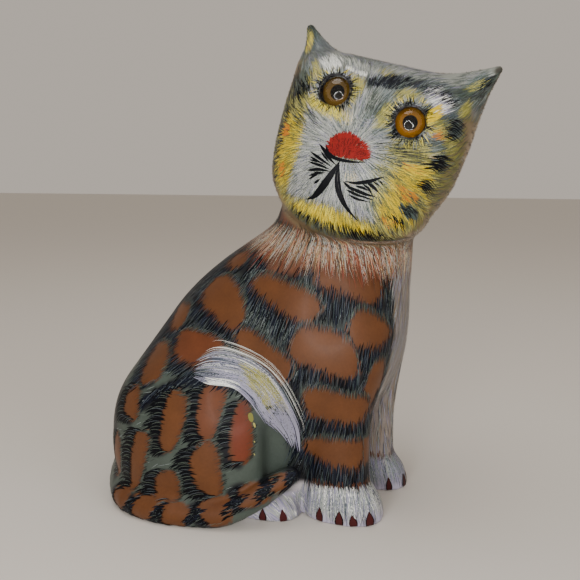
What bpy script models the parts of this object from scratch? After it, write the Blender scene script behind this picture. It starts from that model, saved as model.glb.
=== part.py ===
"""Carved and painted wooden cat figurine with two set-in glass eyes.

One carved block (a sitting cat with its head turned to its right and tipped
over, tail wrapped along its right side) and two plano-convex glass eyes.
The carving is worked out as one smooth solid from named sizes: upright
stacks of rounded sections, rounded ellipsoids and tapered rods, blended.
Sizes below are in millimetres, +Z up, front -Y, the cat's right side -X.
"""
import math

import bpy
import numpy as np
import openvdb
from mathutils import Matrix, Vector

OBJECT = "PaintedWoodenCat"
MM = 0.001

# ---- torso: height, front, back, half width of each upright section ----
TORSO = [
    (-6, -20.0, 50.0, 27.0), (0, -21.0, 53.0, 28.0), (8, -22.0, 54.5, 28.5),
    (18, -25.0, 53.0, 28.5), (27, -31.0, 50.4, 28.0), (35, -38.0, 46.8, 27.6),
    (43, -41.5, 42.9, 27.2), (50, -43.4, 38.6, 26.6), (57, -44.4, 33.2, 26.0),
    (64, -44.8, 27.6, 25.0), (70, -45.0, 21.6, 23.6), (75, -45.2, 15.6, 22.0),
    (80, -45.4, 8.6, 20.0), (84, -45.4, 2.2, 18.6), (88, -45.2, -3.2, 17.4),
    (93, -44.4, -5.6, 16.6), (100, -42.0, -8.0, 16.0),
]
TORSO_SQUARENESS = 2.4
NECK_TOP = 97.0

# ---- haunches, shoulders, legs, feet (mirrored left and right) ----
HAUNCH_CENTRE, HAUNCH_SEMI = (18.0, 17.0, 21.5), (19.3, 28.4, 27.5)
HAUNCH_SQUARENESS = 2.35
KNEE_Y = -8.0                 # the thigh ends here in an upright facet
SHOULDER_CENTRE, SHOULDER_SEMI = (13.0, -22.0, 58.0), (13.5, 18.0, 24.0)
LEG_X = 12.5
LEG = [
    (-6, -37.0, -17.0, 7.2), (0, -37.0, -17.0, 7.2), (14, -36.8, -16.6, 7.4),
    (25, -36.8, -17.0, 7.8), (38, -38.4, -16.0, 9.2), (50, -41.0, -12.0, 11.5),
    (62, -42.0, -6.0, 12.0),
]
LEFT_LEG_FORWARD = 2.2        # the left front leg stands a little further out
PAW_CENTRE, PAW_SEMI = (12.8, -29.5, 0.0), (8.4, 12.0, 11.5)
FOOT_CENTRE, FOOT_SEMI = (19.5, -6.0, 0.0), (7.0, 11.0, 7.6)
SLOT_CENTRE, SLOT_SEMI = (0.0, -46.0, 6.0), (5.0, 20.0, 32.0)
HOLLOW_CENTRE, HOLLOW_SEMI = (29.5, -13.0, 20.0), (8.6, 7.0, 16.0)

# ---- tail: a tapered rod laid round the back and up the right side ----
TAIL = [
    (14.0, 48.5, 3.2, 4.4), (0.0, 51.5, 3.2, 4.4), (-13.0, 48.4, 3.2, 4.4),
    (-24.4, 42.0, 3.2, 4.4), (-32.3, 34.0, 3.2, 4.4), (-35.2, 22.0, 3.0, 4.2),
    (-34.1, 10.0, 2.9, 3.9), (-32.4, 1.0, 4.6, 3.8), (-29.0, -8.0, 9.8, 3.6),
    (-25.0, -16.5, 15.6, 2.4),
]

# ---- head: its own frame, across / up / towards the nose ----
HEAD_CENTRE = np.array([-6.6, -34.3, 110.1])
HEAD_TURN, HEAD_PITCH, HEAD_ROLL = 5.0, 3.0, 20.0
HEAD_SQUARENESS = 2.5
HEAD = [                      # up, left side, right side, half depth
    (-34, -12.0, 18.0, 14.0), (-27, -17.5, 20.5, 17.0), (-22, -20.7, 21.6, 19.0),
    (-15.7, -24.6, 22.6, 21.0), (-11.9, -25.6, 23.0, 22.0), (-7.5, -26.4, 24.4, 22.8),
    (-2, -27.0, 25.6, 23.2), (4.4, -27.6, 25.8, 23.0), (10.4, -27.9, 25.8, 22.4),
    (16, -28.1, 25.2, 21.0), (22, -27.8, 24.4, 19.0), (30, -27.0, 24.0, 16.0),
]
CROWN_UP, CROWN_SLOPE, CROWN_DOME = 24.2, 0.10, 0.014
CHIN_UP, CHIN_ROUND, CHIN_DOME = -27.5, 0.012, 0.008
MUZZLE_CENTRE, MUZZLE_SEMI = (-1.0, -9.0, 11.0), (17.0, 14.0, 14.5)
# each ear: tip, root, root radius, scoop centre, scoop semi-axes
EAR_RIGHT = ((-28.0, 25.8, 4.0), (-21.4, 15.6, 1.0), 7.4, (-30.8, 18.5, 4.5), (3.8, 6.5, 3.2))
EAR_LEFT = ((25.2, 30.9, 3.6), (16.8, 19.0, 1.0), 8.6, (30.0, 23.0, 4.5), (4.6, 7.6, 3.2))
EAR_TIP = 1.1

# ---- eyes: dishes under the brow, sockets and the glass itself ----
EYES = {                      # node: seat on the face (across, up, out), splay
    "eye_right": ((-11.3, 10.5, 18.2), -12.0),
    "eye_left": ((10.1, 9.3, 18.3), 9.0),
}
DISH_SEMI = (8.6, 7.6, 7.6)
DISH_OUT = 26.4
EYE_RADIUS, EYE_DOME, EYE_SEAT = 3.8, 2.2, 1.9
EYE_GAP = 0.3
SOCKET_REACH = 9.0            # how far the socket drill stands out of the face
EYE_STEPS = 24

# ---- how finely the carving is faceted ----
CELL = 1.15
FACET_SHARE = 0.105


def clear_scene():
    for item in list(bpy.data.objects):
        bpy.data.objects.remove(item)


def collection(name):
    group = bpy.data.collections.new(name)
    bpy.context.scene.collection.children.link(group)
    return group


# ---------------------------------------------------------------- blends
def smooth_min(a, b, k):
    h = np.clip(0.5 + 0.5 * (b - a) / k, 0.0, 1.0)
    return b * (1.0 - h) + a * h - k * h * (1.0 - h)


def smooth_max(a, b, k):
    return -smooth_min(-a, -b, k)


def ramp(v, low, high):
    t = np.clip((v - low) / (high - low), 0.0, 1.0)
    return t * t * (3.0 - 2.0 * t)


# ------------------------------------------------------------ solid forms
def ellipsoid(p, centre, semi, power=2.0):
    q = [np.abs(p[i] - centre[i]) / semi[i] for i in range(3)]
    r = (q[0] ** power + q[1] ** power + q[2] ** power) ** (1.0 / power) + 1e-9
    g = [(q[i] / r) ** (power - 1.0) / semi[i] for i in range(3)]
    return (r - 1.0) / (np.sqrt(g[0] ** 2 + g[1] ** 2 + g[2] ** 2) + 1e-9)


def rod(p, knots):
    """Tapered round rod through knots of (x, y, z, radius)."""
    out = None
    for (ax, ay, az, ar), (bx, by, bz, br) in zip(knots[:-1], knots[1:]):
        v = (bx - ax, by - ay, bz - az)
        q = (p[0] - ax, p[1] - ay, p[2] - az)
        t = (q[0] * v[0] + q[1] * v[1] + q[2] * v[2]) / (v[0] ** 2 + v[1] ** 2 + v[2] ** 2)
        t = np.clip(t, 0.0, 1.0)
        d = np.sqrt(sum((q[i] - t * v[i]) ** 2 for i in range(3))) - (ar + (br - ar) * t)
        out = d if out is None else smooth_min(out, d, 1.5)
    return out


def section(across, along, half_a, half_b, power):
    """Distance to an upright column of rounded section."""
    qa, qb = np.abs(across) / half_a, np.abs(along) / half_b
    r = (qa ** power + qb ** power) ** (1.0 / power) + 1e-9
    ga, gb = (qa / r) ** (power - 1.0) / half_a, (qb / r) ** (power - 1.0) / half_b
    return (r - 1.0) / (np.sqrt(ga * ga + gb * gb) + 1e-9)


def eased(rows, step=2.0):
    """Fills section rows in smoothly between the named heights."""
    rows = np.array(rows, float)
    z = rows[:, 0]
    slope = np.gradient(rows, z, axis=0)
    out = []
    for v in np.arange(z[0], z[-1] + 1e-6, step):
        i = min(max(int(np.searchsorted(z, v)) - 1, 0), len(z) - 2)
        h = z[i + 1] - z[i]
        t = (v - z[i]) / h
        row = (1 + 2 * t) * (1 - t) ** 2 * rows[i] + t * (1 - t) ** 2 * h * slope[i]
        row = row + t * t * (3 - 2 * t) * rows[i + 1] + t * t * (t - 1) * h * slope[i + 1]
        row[0] = v
        out.append(row)
    return np.array(out)


def column(p, rows, power):
    """Upright body of sections (height, front, back, half width)."""
    front, back, half = (np.interp(p[2], rows[:, 0], rows[:, i]) for i in (1, 2, 3))
    return section(p[0], p[1] - 0.5 * (front + back), half, 0.5 * (back - front), power)


def rounded(knots, steps=4):
    """Runs a smooth curve through the knots of a rod."""
    k = np.array([knots[0]] + list(knots) + [knots[-1]], float)
    out = []
    for a, b, c, d in zip(k[:-3], k[1:-2], k[2:-1], k[3:]):
        for t in np.arange(steps) / steps:
            p = 2 * b + (c - a) * t + (2 * a - 5 * b + 4 * c - d) * t * t
            out.append(tuple(0.5 * (p + (3 * b - a - 3 * c + d) * t ** 3)))
    return out + [tuple(k[-1])]


TORSO_ROWS, LEG_ROWS, HEAD_ROWS = eased(TORSO), eased(LEG), eased(HEAD)
TAIL_KNOTS = rounded(TAIL, 3)


# ------------------------------------------------------------------- head
def head_axes():
    turn, pitch, roll = (math.radians(a) for a in (HEAD_TURN, HEAD_PITCH, HEAD_ROLL))
    look = np.array([-math.cos(turn), -math.sin(turn), 0.0])
    side = np.array([math.sin(turn), -math.cos(turn), 0.0])
    up = np.array([0.0, 0.0, 1.0])
    nose = look * math.cos(pitch) + up * math.sin(pitch)
    crown = up * math.cos(pitch) - look * math.sin(pitch)
    across = side * math.cos(roll) - crown * math.sin(roll)
    upward = side * math.sin(roll) + crown * math.cos(roll)
    return across, upward, nose


HEAD_AXES = head_axes()


def to_head(p):
    q = [p[i] - HEAD_CENTRE[i] for i in range(3)]
    return [q[0] * a[0] + q[1] * a[1] + q[2] * a[2] for a in HEAD_AXES]


def from_head(s, u, d):
    return HEAD_CENTRE + s * HEAD_AXES[0] + u * HEAD_AXES[1] + d * HEAD_AXES[2]


def ear(q, spec):
    tip, root, radius, scoop_at, scoop_semi = spec
    blade = rod(q, [root + (radius,), tip + (EAR_TIP,)])
    return smooth_max(blade, -ellipsoid(q, scoop_at, scoop_semi), 0.8)


def head(p):
    s, u, d = to_head(p)
    left, right, depth = (np.interp(u, HEAD_ROWS[:, 0], HEAD_ROWS[:, i]) for i in (1, 2, 3))
    f = section(s - 0.5 * (left + right), d + 1.0, 0.5 * (right - left), depth, HEAD_SQUARENESS)
    crown = u - (CROWN_UP + CROWN_SLOPE * s) + CROWN_DOME * d * d
    chin = -(u - CHIN_UP) + CHIN_ROUND * (s + 4.0) ** 2 + CHIN_DOME * d * d
    f = smooth_max(smooth_max(f, crown, 8.0), chin, 6.0)
    f = smooth_min(f, ellipsoid([s, u, d], MUZZLE_CENTRE, MUZZLE_SEMI), 6.0)
    for seat, splay in EYES.values():
        dish = ellipsoid([s, u, d], (seat[0], seat[1] - 0.6, DISH_OUT), DISH_SEMI)
        f = smooth_max(f, -dish, 1.6)
    f = smooth_min(f, ear([s, u, d], EAR_RIGHT), 3.0)
    return smooth_min(f, ear([s, u, d], EAR_LEFT), 3.0)


# ------------------------------------------------------------------- body
def half_body(f, p, side):
    """Adds the haunch, shoulder, front leg, paw and hind foot of one side."""
    out, y, z = p[0] * side, p[1], p[2]
    q = [out, y, z]
    thigh = ellipsoid(q, HAUNCH_CENTRE, HAUNCH_SEMI, HAUNCH_SQUARENESS)
    thigh = smooth_max(thigh, KNEE_Y - y, 1.4)
    f = smooth_max(f, -ellipsoid(q, HOLLOW_CENTRE, HOLLOW_SEMI), 5.0)
    f = smooth_min(f, thigh, 1.6 + 7.0 * ramp(y, -6.0, 8.0))
    f = smooth_min(f, ellipsoid(q, SHOULDER_CENTRE, SHOULDER_SEMI), 8.0)
    forward = LEFT_LEG_FORWARD * (1.0 - ramp(z, 36.0, 60.0)) if side > 0 else 0.0
    leg = column([out - LEG_X, y + forward, z], LEG_ROWS, 2.3)
    f = smooth_min(f, smooth_max(leg, z - 60.0, 6.0), 3.0)
    paw = ellipsoid([out, y + forward, z], PAW_CENTRE, PAW_SEMI, 2.3)
    f = smooth_min(f, paw, 2.5)
    return smooth_min(f, ellipsoid(q, FOOT_CENTRE, FOOT_SEMI, 2.3), 1.6)


def carving(p):
    f = smooth_max(column(p, TORSO_ROWS, TORSO_SQUARENESS), p[2] - NECK_TOP, 3.0)
    for side in (-1.0, 1.0):
        f = half_body(f, p, side)
    f = smooth_max(f, -ellipsoid(p, SLOT_CENTRE, SLOT_SEMI, 2.2), 4.0)
    f = smooth_min(f, rod(p, TAIL_KNOTS), 1.0 + 2.5 * ramp(p[1], -2.0, 24.0))
    return smooth_min(f, head(p), 3.0)


# ------------------------------------------------------------ the surface
BOX_LOW, BOX_HIGH = np.array([-46.0, -76.0, -5.0]), np.array([44.0, 62.0, 152.0])


def settle(points, form, cell):
    """Moves points straight onto the surface of the form."""
    step = 0.05 * np.eye(3)
    for _ in range(3):
        here = form(points.T)
        grad = [(form((points + e).T) - form((points - e).T)) / 0.1 for e in step]
        grad = np.stack(grad, 1)
        move = -(here / np.maximum((grad ** 2).sum(1), 0.2))[:, None] * grad
        size = np.linalg.norm(move, axis=1, keepdims=True)
        points = points + move * np.minimum(1.0, 0.5 * cell / np.maximum(size, 1e-9))
    return points


def surface(name, form, cell):
    """Samples the form on a grid and wraps its surface in four-sided faces."""
    count = np.ceil((BOX_HIGH - BOX_LOW) / cell).astype(int) + 1
    axes = [BOX_LOW[i] + cell * np.arange(count[i]) for i in range(3)]
    values = np.empty(count, np.float32)
    for i in range(0, count[0], 16):
        block = np.meshgrid(axes[0][i:i + 16], axes[1], axes[2], indexing="ij")
        base = BOX_LOW[2] + 1.5 - block[2]
        values[i:i + 16] = np.maximum(form(block), base)
    grid = openvdb.FloatGrid(3.0 * cell)
    grid.copyFromArray(np.clip(values, -3.0 * cell, 3.0 * cell))
    points, quads = grid.convertToQuads(0.0)
    points = BOX_LOW + np.asarray(points, float) * cell
    points = settle(points, form, cell)
    mesh = bpy.data.meshes.new(name)
    mesh.from_pydata((points * MM).tolist(), [], np.asarray(quads).tolist())
    mesh.update()
    return bpy.data.objects.new(name, mesh)


# --------------------------------------------------------------- finishes
def wood_finish():
    material = bpy.data.materials.new("painted_wood")
    material.use_nodes = True
    shader = material.node_tree.nodes["Principled BSDF"]
    shader.inputs["Base Color"].default_value = (0.16, 0.15, 0.11, 1.0)
    shader.inputs["Roughness"].default_value = 0.4
    return material


def glass_finish():
    material = bpy.data.materials.new("amber_glass")
    material.use_nodes = True
    shader = material.node_tree.nodes["Principled BSDF"]
    shader.inputs["Base Color"].default_value = (0.62, 0.30, 0.05, 1.0)
    shader.inputs["Roughness"].default_value = 0.05
    shader.inputs["Transmission Weight"].default_value = 0.6
    return material


# -------------------------------------------------------------- the parts
def eye_matrix(seat, splay):
    """Places a lathe axis (+Z) on the face, turned outwards by the splay."""
    angle = math.radians(splay)
    across, upward, nose = HEAD_AXES
    out = nose * math.cos(angle) + across * math.sin(angle)
    side = across * math.cos(angle) - nose * math.sin(angle)
    place = Matrix([side, upward, out]).transposed().to_4x4()
    place.translation = Vector(from_head(*seat) * MM)
    return place


def eye_profile():
    """Half outline of the glass: domed front, short side, flat back."""
    r, dome = EYE_RADIUS, EYE_DOME
    sphere = (r * r + dome * dome) / (2.0 * dome)
    limit = math.asin(r / sphere)
    points = [(0.0, dome)]
    for i in range(1, 8):
        a = limit * i / 7.0
        points.append((sphere * math.sin(a), sphere * math.cos(a) - sphere + dome))
    return points + [(r, -EYE_SEAT + 0.3), (r - 0.3, -EYE_SEAT), (0.0, -EYE_SEAT)]


def glass_eye(name, seat, splay, group, finish):
    """The eye outline turned round its own axis."""
    outline = [(x * MM, 0.0, z * MM) for x, z in eye_profile()]
    mesh = bpy.data.meshes.new(name)
    mesh.from_pydata(outline, [(i, i + 1) for i in range(len(outline) - 1)], [])
    eye = bpy.data.objects.new(name, mesh)
    group.objects.link(eye)
    lathe = eye.modifiers.new("Lathe", "SCREW")
    lathe.axis, lathe.angle = "Z", math.tau
    lathe.steps = lathe.render_steps = EYE_STEPS
    lathe.use_merge_vertices, lathe.merge_threshold = True, 0.00001
    lathe.use_smooth_shade = True
    eye.matrix_world = eye_matrix(seat, splay)
    mesh.materials.append(finish)
    return eye


def cutter(name, group):
    """Files the primitive just added among the cutters."""
    item = bpy.context.object
    item.name = item.data.name = name
    for home in list(item.users_collection):
        home.objects.unlink(item)
    group.objects.link(item)
    item.hide_render = True
    item.display_type = "WIRE"
    return item


def ground_cutter(group):
    """A slab below the feet that leaves the underside flat."""
    bpy.ops.mesh.primitive_cube_add(size=1.0)
    item = cutter("ground_cutter", group)
    size, deep = (160.0, 180.0), 20.0
    item.data.transform(Matrix.Diagonal((size[0] * MM, size[1] * MM, deep * MM, 1.0)))
    item.data.transform(Matrix.Translation((0.0, 0.0, -0.5 * deep * MM)))
    return item


def socket_cutter(name, seat, splay, group):
    """A round drill the size of the eye plus its gap."""
    low, high = -(EYE_SEAT + EYE_GAP) * MM, SOCKET_REACH * MM
    bpy.ops.mesh.primitive_cylinder_add(vertices=EYE_STEPS, radius=(EYE_RADIUS + EYE_GAP) * MM,
                                        depth=high - low)
    item = cutter(name, group)
    item.data.transform(Matrix.Translation((0.0, 0.0, 0.5 * (high + low))))
    item.matrix_world = eye_matrix(seat, splay)
    return item


def carved_cat(group, cutters, finish):
    cat = surface("cat", carving, CELL)
    group.objects.link(cat)
    cat.data.materials.append(finish)
    cat.data.shade_smooth()
    facets = cat.modifiers.new("Facets", "DECIMATE")
    facets.ratio = FACET_SHARE
    tools = [ground_cutter(cutters)]
    for node, (seat, splay) in EYES.items():
        tools.append(socket_cutter(node + "_socket", seat, splay, cutters))
    for tool in tools:
        cut = cat.modifiers.new(tool.name, "BOOLEAN")
        cut.operation, cut.solver, cut.object = "DIFFERENCE", "EXACT", tool
    return cat


def build():
    clear_scene()
    group, cutters = collection(OBJECT), collection("Cutters")
    wood, glass = wood_finish(), glass_finish()
    carved_cat(group, cutters, wood)
    for node, (seat, splay) in EYES.items():
        glass_eye(node, seat, splay, group, glass)


build()
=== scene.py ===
"""Finish of the painted wooden cat: a fine carved skin, the paint laid on it
stroke by stroke, and the two glass eyes with what is sealed behind them.

Lengths are in millimetres until a mesh is made, +Z up, front -Y, the cat's
right side -X.  Painted hairs are thin strips that follow the skin.
"""
import math

import bpy
import numpy as np
import openvdb
from mathutils import Matrix, Vector
from mathutils.bvhtree import BVHTree


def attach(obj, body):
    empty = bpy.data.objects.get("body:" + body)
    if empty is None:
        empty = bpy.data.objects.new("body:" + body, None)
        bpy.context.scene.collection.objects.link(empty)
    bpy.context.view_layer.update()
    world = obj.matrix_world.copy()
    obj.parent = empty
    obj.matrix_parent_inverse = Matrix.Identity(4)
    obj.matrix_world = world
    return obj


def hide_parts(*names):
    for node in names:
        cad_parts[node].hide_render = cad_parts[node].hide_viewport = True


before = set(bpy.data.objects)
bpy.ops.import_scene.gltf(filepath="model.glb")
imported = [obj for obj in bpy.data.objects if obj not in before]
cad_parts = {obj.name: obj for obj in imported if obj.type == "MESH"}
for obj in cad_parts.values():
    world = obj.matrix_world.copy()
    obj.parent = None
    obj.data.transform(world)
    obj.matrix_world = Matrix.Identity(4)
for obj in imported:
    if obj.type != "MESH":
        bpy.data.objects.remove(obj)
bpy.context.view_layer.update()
MM = 0.001
rng = np.random.default_rng(7)

# ---- torso: height, front, back, half width of each upright section ----
TORSO = [
    (-6, -20, 50, 27), (0, -21, 53, 28), (8, -22, 54.5, 28.5),
    (18, -25, 53, 28.5), (27, -31, 50.4, 28), (35, -38, 46.8, 27.6),
    (43, -41.5, 42.9, 27.2), (50, -43.4, 38.6, 26.6), (57, -44.4, 33.2, 26),
    (64, -44.8, 27.6, 25), (70, -45, 21.6, 23.6), (75, -45.2, 15.6, 22),
    (80, -45.4, 8.6, 20), (84, -45.4, 2.2, 18.6), (88, -45.2, -3.2, 17.4),
    (93, -44.4, -5.6, 16.6), (100, -42, -8, 16),
]
TORSO_SQUARENESS = 2.4
NECK_TOP = 97.0

# ---- haunches, shoulders, legs, feet (mirrored left and right) ----
HAUNCH_CENTRE, HAUNCH_SEMI = (18.0, 17.0, 21.5), (19.3, 28.4, 27.5)
HAUNCH_SQUARENESS = 2.35
KNEE_Y = -8.0                 # the thigh ends here in an upright facet
SHOULDER_CENTRE, SHOULDER_SEMI = (13.0, -22.0, 58.0), (13.5, 18.0, 24.0)
LEG_X = 12.5
LEG = [
    (-6, -37, -17, 7.2), (0, -37, -17, 7.2), (14, -36.8, -16.6, 7.4),
    (25, -36.8, -17, 7.8), (38, -38.4, -16, 9.2), (50, -41, -12, 11.5),
    (62, -42, -6, 12),
]
LEFT_LEG_FORWARD = 2.2        # the left front leg stands a little further out
PAW_CENTRE, PAW_SEMI = (12.8, -29.5, 0.0), (8.4, 12.0, 11.5)
FOOT_CENTRE, FOOT_SEMI = (19.5, -6.0, 0.0), (7.0, 11.0, 7.6)
SLOT_CENTRE, SLOT_SEMI = (0.0, -46.0, 6.0), (5.0, 20.0, 32.0)
HOLLOW_CENTRE, HOLLOW_SEMI = (29.5, -13.0, 20.0), (8.6, 7.0, 16.0)
LIMB_SQUARENESS, SLOT_SQUARENESS = 2.3, 2.2
LEG_TOP = 60.0

# ---- tail: a tapered rod laid round the back and up the right side ----
TAIL = [
    (14, 48.5, 3.2, 4.4), (0, 51.5, 3.2, 4.4), (-13, 48.4, 3.2, 4.4),
    (-24.4, 42, 3.2, 4.4), (-32.3, 34, 3.2, 4.4), (-35.2, 22, 3, 4.2),
    (-34.1, 10, 2.9, 3.9), (-32.4, 1, 4.6, 3.8), (-29, -8, 9.8, 3.6),
    (-25, -16.5, 15.6, 2.4),
]

# ---- head: its own frame, across / up / towards the nose ----
HEAD_CENTRE = np.array([-6.6, -34.3, 110.1])
HEAD_TURN, HEAD_PITCH, HEAD_ROLL = 5.0, 3.0, 20.0
HEAD_SQUARENESS = 2.5
HEAD = [                      # up, left side, right side, half depth
    (-34, -12, 18, 14), (-27, -17.5, 20.5, 17), (-22, -20.7, 21.6, 19),
    (-15.7, -24.6, 22.6, 21), (-11.9, -25.6, 23, 22), (-7.5, -26.4, 24.4, 22.8),
    (-2, -27, 25.6, 23.2), (4.4, -27.6, 25.8, 23), (10.4, -27.9, 25.8, 22.4),
    (16, -28.1, 25.2, 21), (22, -27.8, 24.4, 19), (30, -27, 24, 16),
]
CROWN_UP, CROWN_SLOPE, CROWN_DOME = 24.2, 0.10, 0.014
CHIN_UP, CHIN_ROUND, CHIN_DOME = -27.5, 0.012, 0.008
MUZZLE_CENTRE, MUZZLE_SEMI = (-1.0, -9.0, 11.0), (17.0, 14.0, 14.5)
# each ear: tip, root, root radius, scoop centre, scoop semi-axes
EAR_RIGHT = ((-28.0, 25.8, 4.0), (-21.4, 15.6, 1.0), 7.4, (-30.8, 18.5, 4.5), (3.8, 6.5, 3.2))
EAR_LEFT = ((25.2, 30.9, 3.6), (16.8, 19.0, 1.0), 8.6, (30.0, 23.0, 4.5), (4.6, 7.6, 3.2))
EAR_TIP = 1.1

# ---- eyes: dishes under the brow, sockets and the glass itself ----
EYES = {                      # node: seat on the face (across, up, out), splay
    "eye_right": ((-11.3, 10.5, 18.2), -12.0),
    "eye_left": ((10.1, 9.3, 18.3), 9.0),
}
DISH_SEMI = (8.6, 7.6, 7.6)
DISH_OUT = 26.4
EYE_RADIUS, EYE_DOME, EYE_SEAT = 3.8, 2.2, 1.9
EYE_GAP = 0.3

# ---- blends ----
def smooth_min(a, b, k):
    h = np.clip(0.5 + 0.5 * (b - a) / k, 0.0, 1.0)
    return b * (1.0 - h) + a * h - k * h * (1.0 - h)


def smooth_max(a, b, k):
    return -smooth_min(-a, -b, k)


def ramp(v, low, high):
    t = np.clip((v - low) / (high - low), 0.0, 1.0)
    return t * t * (3.0 - 2.0 * t)


# ---- solid forms ----
def squarish(offsets, halves, power):
    """Rough distance to an oval form; above 2 the power fills out its corners."""
    q = [np.abs(v) / half for v, half in zip(offsets, halves)]
    r = sum(v ** power for v in q) ** (1.0 / power) + 1e-9
    g = [(v / r) ** (power - 1.0) / half for v, half in zip(q, halves)]
    return (r - 1.0) / (np.sqrt(sum(v ** 2 for v in g)) + 1e-9)


def ellipsoid(p, centre, semi, power=2.0):
    return squarish([p[i] - centre[i] for i in range(3)], semi, power)


def rod(p, knots):
    """Tapered round rod through knots of (x, y, z, radius)."""
    out = None
    for (ax, ay, az, ar), (bx, by, bz, br) in zip(knots[:-1], knots[1:]):
        v = (bx - ax, by - ay, bz - az)
        q = (p[0] - ax, p[1] - ay, p[2] - az)
        t = (q[0] * v[0] + q[1] * v[1] + q[2] * v[2]) / (v[0] ** 2 + v[1] ** 2 + v[2] ** 2)
        t = np.clip(t, 0.0, 1.0)
        d = np.sqrt(sum((q[i] - t * v[i]) ** 2 for i in range(3))) - (ar + (br - ar) * t)
        out = d if out is None else smooth_min(out, d, 1.5)
    return out


def eased(rows, step=2.0):
    """Fills section rows in smoothly between the named heights."""
    rows = np.array(rows, float)
    z = rows[:, 0]
    slope = np.gradient(rows, z, axis=0)
    out = []
    for v in np.arange(z[0], z[-1] + 1e-6, step):
        i = min(max(int(np.searchsorted(z, v)) - 1, 0), len(z) - 2)
        h = z[i + 1] - z[i]
        t = (v - z[i]) / h
        row = (1 + 2 * t) * (1 - t) ** 2 * rows[i] + t * (1 - t) ** 2 * h * slope[i]
        row = row + t * t * (3 - 2 * t) * rows[i + 1] + t * t * (t - 1) * h * slope[i + 1]
        row[0] = v
        out.append(row)
    return np.array(out)


def column(p, rows, power):
    """Upright body of sections (height, front, back, half width)."""
    front, back, half = (np.interp(p[2], rows[:, 0], rows[:, i]) for i in (1, 2, 3))
    offsets = p[0], p[1] - 0.5 * (front + back)
    return squarish(offsets, (half, 0.5 * (back - front)), power)


def rounded(knots, steps):
    """Runs a smooth curve through the knots of a rod."""
    k = np.array([knots[0]] + list(knots) + [knots[-1]], float)
    out = []
    for a, b, c, d in zip(k[:-3], k[1:-2], k[2:-1], k[3:]):
        for t in np.arange(steps) / steps:
            p = 2 * b + (c - a) * t + (2 * a - 5 * b + 4 * c - d) * t * t
            out.append(tuple(0.5 * (p + (3 * b - a - 3 * c + d) * t ** 3)))
    return out + [tuple(k[-1])]


TORSO_ROWS, LEG_ROWS, HEAD_ROWS = eased(TORSO), eased(LEG), eased(HEAD)
TAIL_KNOTS = rounded(TAIL, 3)


# ---- head ----
def head_axes():
    turn, pitch, roll = (math.radians(a) for a in (HEAD_TURN, HEAD_PITCH, HEAD_ROLL))
    look = np.array([-math.cos(turn), -math.sin(turn), 0.0])
    side = np.array([math.sin(turn), -math.cos(turn), 0.0])
    up = np.array([0.0, 0.0, 1.0])
    nose = look * math.cos(pitch) + up * math.sin(pitch)
    crown = up * math.cos(pitch) - look * math.sin(pitch)
    across = side * math.cos(roll) - crown * math.sin(roll)
    upward = side * math.sin(roll) + crown * math.cos(roll)
    return across, upward, nose


HEAD_AXES = head_axes()


def to_head(p):
    q = [p[i] - HEAD_CENTRE[i] for i in range(3)]
    return [q[0] * a[0] + q[1] * a[1] + q[2] * a[2] for a in HEAD_AXES]


def from_head(s, u, d):
    return HEAD_CENTRE + s * HEAD_AXES[0] + u * HEAD_AXES[1] + d * HEAD_AXES[2]


def ear(q, spec):
    tip, root, radius, scoop_at, scoop_semi = spec
    blade = rod(q, [root + (radius,), tip + (EAR_TIP,)])
    return smooth_max(blade, -ellipsoid(q, scoop_at, scoop_semi), 0.8)


def head(p):
    s, u, d = to_head(p)
    left, right, depth = (np.interp(u, HEAD_ROWS[:, 0], HEAD_ROWS[:, i]) for i in (1, 2, 3))
    f = squarish((s - 0.5 * (left + right), d + 1.0), (0.5 * (right - left), depth),
                 HEAD_SQUARENESS)
    crown = u - (CROWN_UP + CROWN_SLOPE * s) + CROWN_DOME * d * d
    chin = -(u - CHIN_UP) + CHIN_ROUND * (s + 4.0) ** 2 + CHIN_DOME * d * d
    f = smooth_max(smooth_max(f, crown, 8.0), chin, 6.0)
    f = smooth_min(f, ellipsoid([s, u, d], MUZZLE_CENTRE, MUZZLE_SEMI), 6.0)
    for seat, splay in EYES.values():
        dish = ellipsoid([s, u, d], (seat[0], seat[1] - 0.6, DISH_OUT), DISH_SEMI)
        f = smooth_max(f, -dish, 1.6)
    f = smooth_min(f, ear([s, u, d], EAR_RIGHT), 3.0)
    return smooth_min(f, ear([s, u, d], EAR_LEFT), 3.0)


# ---- body ----
def half_body(f, p, side):
    """Adds the haunch, shoulder, front leg, paw and hind foot of one side."""
    out, y, z = p[0] * side, p[1], p[2]
    q = [out, y, z]
    thigh = ellipsoid(q, HAUNCH_CENTRE, HAUNCH_SEMI, HAUNCH_SQUARENESS)
    thigh = smooth_max(thigh, KNEE_Y - y, 1.4)
    f = smooth_max(f, -ellipsoid(q, HOLLOW_CENTRE, HOLLOW_SEMI), 5.0)
    f = smooth_min(f, thigh, 1.6 + 7.0 * ramp(y, -6.0, 8.0))
    f = smooth_min(f, ellipsoid(q, SHOULDER_CENTRE, SHOULDER_SEMI), 8.0)
    forward = LEFT_LEG_FORWARD * (1.0 - ramp(z, 36.0, 60.0)) if side > 0 else 0.0
    leg = column([out - LEG_X, y + forward, z], LEG_ROWS, LIMB_SQUARENESS)
    f = smooth_min(f, smooth_max(leg, z - LEG_TOP, 6.0), 3.0)
    paw = ellipsoid([out, y + forward, z], PAW_CENTRE, PAW_SEMI, LIMB_SQUARENESS)
    f = smooth_min(f, paw, 2.5)
    return smooth_min(f, ellipsoid(q, FOOT_CENTRE, FOOT_SEMI, LIMB_SQUARENESS), 1.6)


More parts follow.
